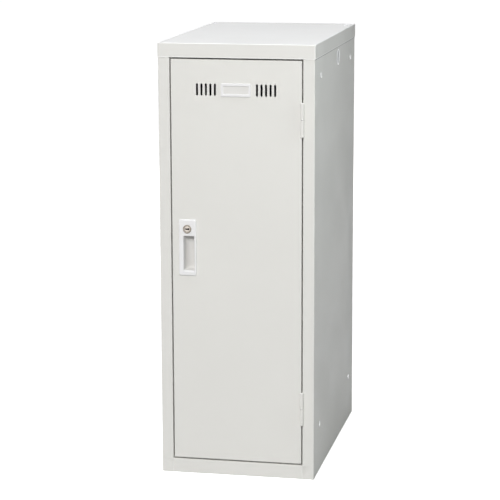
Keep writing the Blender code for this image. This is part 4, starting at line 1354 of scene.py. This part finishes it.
def cablePlugProfile():
    # a half-round rim about a dished, hollow cup: across it half the width times the cosine of
    # an angle, and up it the height times its sine
    shank, barb, tip = plug["cableShank"], plug["barb"], -plug["length"]
    top, behind, half = gap + plug["head"], -thick - gap, plug["cableRim"] / 2
    dish, middle = top - plug["cableDish"], shank + plug["cableLip"] - half
    inner, ceiling = shank - plug["cableWall"], dish - plug["cableWall"]
    angle = np.linspace(np.pi, 0, 13)
    foot = np.where(angle > np.pi / 2, dish, gap)
    rim = np.stack([middle + half * np.cos(angle), foot + (top - foot) * np.sin(angle)], -1)
    corners = [
        (shank, gap),
        (shank, behind),
        (shank + barb + gap, behind),
        (shank - barb, tip),
        (inner, tip),
        (inner, ceiling),
        (0, ceiling),
    ]
    return np.concatenate([[(0, dish)], rim, corners])


def makePlug(node, board, profile, steps=40):
    mesh = makeMesh([turnedShell(board, profile, steps)])
    finishPiece(node, mesh, plugPlastic, name=camelName(node.replace("_hole", "")))
    return mesh


def addDish(mesh, board):
    # the cable plug is matt where the faces' centres lie within its rim
    dish = plug["cableShank"] + plug["cableLip"] - plug["cableRim"]
    mesh.materials.append(dishPlastic)
    centres = np.empty(len(mesh.polygons) * 3)
    mesh.polygons.foreach_get("center", centres)
    away = centres.reshape(-1, 3) - board[0]
    inside = np.hypot(away @ board[1], away @ board[2]) < dish
    mesh.polygons.foreach_set("material_index", inside.astype(np.int32))


def makePlugs():
    small, wide = snapPlugProfile(), cablePlugProfile()
    for sideName, side in sides.items():
        outward = {"across": (0, side, 0), "x": sideX * side}
        for place in plugPlaces:
            node = "side_plug_" + sideName + "_" + place
            makePlug(node, boardAt(node, **outward), small)
        node = "cable_hole_plug_" + sideName
        board = boardAt(node, **outward)
        addDish(makePlug(node, board, wide, 72), board)
        node = "top_plug_" + sideName
        makePlug(node, boardAt(node, up=alongY, z=lidHigh[2]), small)


makePlugs()
print("plugs ready")

# Hinges: two knuckles on a pin, each with a leaf that runs back beside the door
hinge = {
    "axisX": 0.13275,
    "axisY": -0.256825,
    "radius": 0.00375,
    "gap": 0.0004,
    "length": 0.034,
    "edge": 0.0017,
    "jointEdge": 0.0006,
    "split": 0.0014,  # between the knuckles, as it is drawn
    "bore": 0.0023,
    "closed": 0.002,
    "pin": 0.002,
    "pinEdge": 0.0004,
    "leafThick": 0.0012,
    "leafLength": 0.030,
}


def makeKnuckle(place, part, body, turn, leafX):
    # a closed sleeve from the joint outwards; its leaf starts inside its wall
    node = "hinge_" + place + "_" + part + "_leaf"
    low, high = boxOf(node)
    radius, bore, half = hinge["radius"], hinge["bore"], hinge["leafLength"] / 2
    near, far = hinge["split"] / 2, hinge["gap"] / 2 + hinge["length"]
    ceiling = far - hinge["closed"]
    corners = [(0, far), (radius, far), (radius, near), (bore, near)]
    corners += [(bore, ceiling), (0, ceiling)]
    radii = [0, hinge["edge"], hinge["jointEdge"], 0, 0, 0]
    joint = (low if turn > 0 else high)[2] - turn * hinge["gap"] / 2
    board = boardAt(node, up=(0, turn, 0), x=hinge["axisX"], y=hinge["axisY"], z=joint)
    centre, leafStart = (low + high)[2] / 2, hinge["axisY"] + (radius + bore) / 2
    leaf = blockShell(
        (leafX, leafStart, centre - half),
        (leafX + hinge["leafThick"], high[1], centre + half),
    )
    mesh = carve(turnedMesh(board, corners, radii, arcs=5), [leaf], "UNION")
    name = camelName("hinge_" + place + "_" + part)
    finishPiece(node, mesh, hingePaint, body, name)


def makeHinge(place):
    # the door's knuckle is above the frame's
    makeKnuckle(place, "door", "door", 1, doorHigh[0] + gap)
    makeKnuckle(place, "frame", "cabinet", -1, openingX - gap - hinge["leafThick"])
    node, radius = "hinge_" + place + "_pin", hinge["pin"]
    half = halfOf(node)[2]
    corners = [(0, half), (radius, half), (radius, -half), (0, -half)]
    board = boardAt(node, up=alongY, x=hinge["axisX"], y=hinge["axisY"])
    mesh = turnedMesh(board, corners, [0, hinge["pinEdge"], hinge["pinEdge"], 0], 32, 4)
    finishPiece(node, mesh, zinc, name="hingePin" + place.title())


for place in heights:
    makeHinge(place)
print("hinges ready")

# Shelf on its two angles, and the hat channel that stiffens the door
rail = {"wide": 0.014, "high": 0.014}
stiffener = {"crown": 0.013}


def makeShelf():
    finishPiece("shelf", trayMesh("shelf"), bodyPaint, name="shelfSheet")
    board = makeAxes((0, 0, 0), alongZ, alongX)
    for sideName, side in sides.items():
        node = "shelf_rail_" + sideName
        low, high = boxOf(node)
        wall, top = side * max(abs(low[0]), abs(high[0])), high[2]
        path = [(top, wall - side * rail["wide"]), (top, wall), (top - rail["high"], wall)]
        mesh = stripMesh(board, path, [0, fold, 0], (low[1], high[1]), alongZ)
        finishPiece(node, mesh, bodyPaint)


def makeStiffener():
    low, high = boxOf("door_stiffener")
    near, crown = low[1] + thick, stiffener["crown"]
    path = [(high[0], near), (crown, near), (crown, high[1])]
    path += [(-across, back) for across, back in reversed(path)]
    radii = [0, innerFold, fold, fold, innerFold, 0]
    mesh = stripMesh(planBoard, path, radii, (low[2], high[2]), alongY)
    finishPiece("door_stiffener", mesh, doorPaint, "door")


makeShelf()
makeStiffener()
print("shelf and stiffener ready")

# Hanger tube, dropped into sockets that are open at the top
hanger = {
    "tube": 0.008,
    "tubeWall": 0.001,
    "tubeEdge": 0.0003,
    "bore": 0.0083,
    "boreEdge": 0.0003,
    "collar": 0.010,
    "collarLength": 0.008,
    "collarEdge": 0.0005,
    "fillet": 0.0012,
    "flangeThick": 0.0012,
    "flangeEdge": 0.0006,
}


def makeTube():
    half, outer = halfOf("hanger_tube")[0], hanger["tube"]
    inner = outer - hanger["tubeWall"]
    corners = [(outer, half), (outer, -half), (inner, -half), (inner, half)]
    board = boardAt("hanger_tube", alongY)
    mesh = turnedMesh(board, corners, hanger["tubeEdge"], 64, 3, True)
    finishPiece("hanger_tube", mesh, chromeTube)


def makeSocket(sideName, side):
    node = "hanger_socket_" + sideName
    low, high = boxOf(node)
    middle, flange = (low + high) / 2, (high[1] - low[1]) / 2
    bore, collar, back = hanger["bore"], hanger["collar"], -hanger["flangeThick"]
    length, close = hanger["collarLength"], cut["close"]
    corners = [
        (0, 0),
        (bore, 0),
        (bore, length),
        (collar, length),
        (collar, 0),
        (flange, 0),
        (flange, back),
        (0, back),
    ]
    edges = (hanger[size] for size in ("boreEdge", "collarEdge", "fillet", "flangeEdge"))
    face = side * (max(abs(low[0]), abs(high[0])) + back)
    across, up = (alongZ, alongY) if side > 0 else (alongY, alongZ)
    mesh = turnedMesh(boardAt(node, across, up, x=face), corners, [0, 0, *edges, 0, 0], 64)
    near, far = sorted((face, face - side * (length + close)))
    mouthLow = (near, middle[1] - bore, middle[2])
    mouthHigh = (far, middle[1] + bore, middle[2] + collar + close)
    mesh = carve(mesh, [blockShell(mouthLow, mouthHigh)])
    finishPiece(node, mesh, zinc)


makeTube()
for sideName, side in sides.items():
    makeSocket(sideName, side)
print("hanger ready")

# Screws: a domed pan head with a cross recess
catchScrew = {"head": 0.0028, "height": 0.0014, "shank": 0.0014}
camScrew = {"head": 0.0045, "height": 0.0016, "shank": 0.0015}
screw = {
    "crown": 0.0012,
    "tip": 0.0004,
    "above": 0.0004,
    "arm": 0.52,  # share of the head's radius
    "halfWidth": 0.13,
    "deep": 0.65,  # share of the head's height
    "taper": 0.6,
}


def makeScrew(node, size, body="cabinet", across=alongX):
    # the head is at the front, or behind where the board's first axis runs to the left
    head, height, shank = size["head"], size["height"], size["shank"]
    low, high = boxOf(node)
    under = low[1] + height if across == alongX else high[1] - height
    board, length = boardAt(node, across, y=under), high[1] - low[1] - height
    corners = [(0, height), (head, height), (head, 0), (shank, 0), (shank, -length), (0, -length)]
    mesh = turnedMesh(board, corners, [0, screw["crown"], 0, 0, screw["tip"], 0])
    arm, half = screw["arm"] * head, screw["halfWidth"] * head
    turns = [np.array([(arm, -half), (arm, half), (half, half)])]
    for _ in range(3):
        turns.append(np.stack([-turns[-1][:, 1], turns[-1][:, 0]], -1))
    rings = np.concatenate(turns) * np.array([screw["taper"], 1])[:, None, None]
    levels = (height * (1 - screw["deep"]), height + screw["above"])
    mesh = carve(mesh, [ringStack(board, rings, levels)])
    finishPiece(node, mesh, zinc, body)


# Magnet catch on the left stop, with its screws, and the rubber buttons
catch = {
    "corner": 0.0010,
    "edge": 0.0006,
    "caseHigh": 0.018,  # half heights
    "earBack": 0.0047,
    "earFront": 0.0027,
    "earCorner": 0.0045,
    "earEdge": 0.0004,
    "screwSpread": 0.023,
    "screwHole": 0.0017,
    "screwReach": 0.006,
    "magnetCorner": 0.0005,
    "magnetEdge": 0.0003,
}
bumper = {"stem": 0.0015, "crown": 0.0014, "edge": 0.0003}


def softBlock(board, halfAcross, halfUp, corner, edge, back, front, steps=arcSteps):
    # a block with round corners and a quarter-round at both ends
    rise = edge * (1 - np.cos(quarterTurn(5)))
    levels = np.concatenate([back + rise, front - rise[::-1]])
    inset = quarterLoss(np.minimum(levels - back, front - levels), edge)
    rings = evenRing(halfAcross - inset, halfUp - inset, corner - inset, steps)
    return ringStack(board, rings, levels)


def makeCatchCase():
    low, high = boxOf("catch_case")
    magnetRear = boxOf("catch_magnet")[1][1]
    half, tall = halfOf("catch_case")[[0, 2]]
    board, close = boardAt("catch_case", y=low[1]), cut["close"]
    corner, edge = catch["corner"], catch["edge"]
    body = softBlock(board, half, catch["caseHigh"], corner, edge, low[1] - high[1], 0)
    corner, edge = catch["earCorner"], catch["earEdge"]
    ear = softBlock(board, half, tall, corner, edge, -catch["earBack"], -catch["earFront"])
    mesh = carve(makeMesh([body]), [ear], "UNION")
    wide, tall = halfOf("catch_magnet")[[0, 2]] + gap
    ring = evenRing(wide, tall, catch["magnetCorner"])
    mesh = carve(mesh, [prismShell(board, ring, low[1] - magnetRear - gap, close)])
    spread = catch["screwSpread"]
    boards = [boardAt("catch_case", y=low[1], z=board[0][2] + up) for up in (spread, -spread)]
    ends = -catch["screwReach"], close
    mesh = carve(mesh, [rodShell(board, catch["screwHole"], *ends) for board in boards])
    finishPiece("catch_case", mesh, greyPlastic)


def makeMagnet():
    low, high = boxOf("catch_magnet")
    wide, tall = halfOf("catch_magnet")[[0, 2]]
    board, ends = boardAt("catch_magnet", y=low[1]), (low[1] - high[1], 0)
    shell = softBlock(board, wide, tall, catch["magnetCorner"], catch["magnetEdge"], *ends)
    finishPiece("catch_magnet", makeMesh([shell]), ferrite)


def makeBumper(place):
    node = "door_bumper_" + place
    low, high = boxOf(node)
    radius, stem, crown = (high[0] - low[0]) / 2, bumper["stem"], bumper["crown"]
    top, foot = stopY - low[1], stopY - high[1]
    corners = [(0, top), (radius, top), (radius, gap), (stem, gap), (stem, foot), (0, foot)]
    radii = [0, crown * steel["foldShare"], 0, 0, bumper["edge"], 0]
    mesh = turnedMesh(boardAt(node, y=stopY), corners, radii)
    finishPiece(node, mesh, rubber)


makeCatchCase()
makeMagnet()
for place in heights:
    makeScrew("catch_screw_" + place, catchScrew)
for place in heights:
    makeBumper(place)
print("catch and bumpers ready")

# Behind the lock: the nut that clamps its case, and the cam on the plug's neck
nut = {"flat": 0.0095, "flatShare": 0.97, "bevel": 0.0009, "over": 0.0002, "bore": 0.0078}
cam = {"edge": 0.0003, "roundShare": 0.999, "hole": 0.0033}
towardsLeft = (-1, 0, 0)


def makeNut():
    # six corners on a circle, then the prism's edges bevelled by what it shares with a lens
    half, board = halfOf("lock_nut")[1], boardAt("lock_nut")
    angle = np.arange(6) * np.pi / 3
    corner = nut["flat"] / math.cos(math.pi / 6)
    ring = corner * np.stack([np.cos(angle), np.sin(angle)], -1)[None]
    mesh = makeMesh([prismShell(board, ring, -half, half)])
    flat, wide, drop = nut["flat"] * nut["flatShare"], corner + nut["over"], half - nut["bevel"]
    lens = [(0, -half), (flat, -half), (wide, -drop), (wide, drop), (flat, half), (0, half)]
    mesh = carve(mesh, [turnedShell(board, lens, 96)], "INTERSECT")
    mesh = carve(mesh, [holeTool(board, nut["bore"], steps=64)])
    finishPiece("lock_nut", mesh, zinc, "door")


def makeCam():
    wide, deep, tall = halfOf("lock_cam")
    board = boardAt("lock_cam", towardsLeft)
    corner, ends = wide * cam["roundShare"], (-deep, deep)
    shell = softBlock(board, wide, tall, corner, cam["edge"], *ends, 16)
    axis = boardAt("lock_cam", towardsLeft, z=lockBoard[0][2])
    mesh = carve(makeMesh([shell]), [holeTool(axis, cam["hole"])])
    finishPiece("lock_cam", mesh, zinc, "lock")


makeNut()
makeCam()
makeScrew("cam_screw", camScrew, "lock", towardsLeft)
print("lock works ready")

# Nodes whose own shape stays, with a full material each
for node in ("back_panel", "floor_pan"):
    nodeMesh = cadNodes[node].data
    nodeMesh.materials.clear()
    nodeMesh.materials.append(bodyPaint)
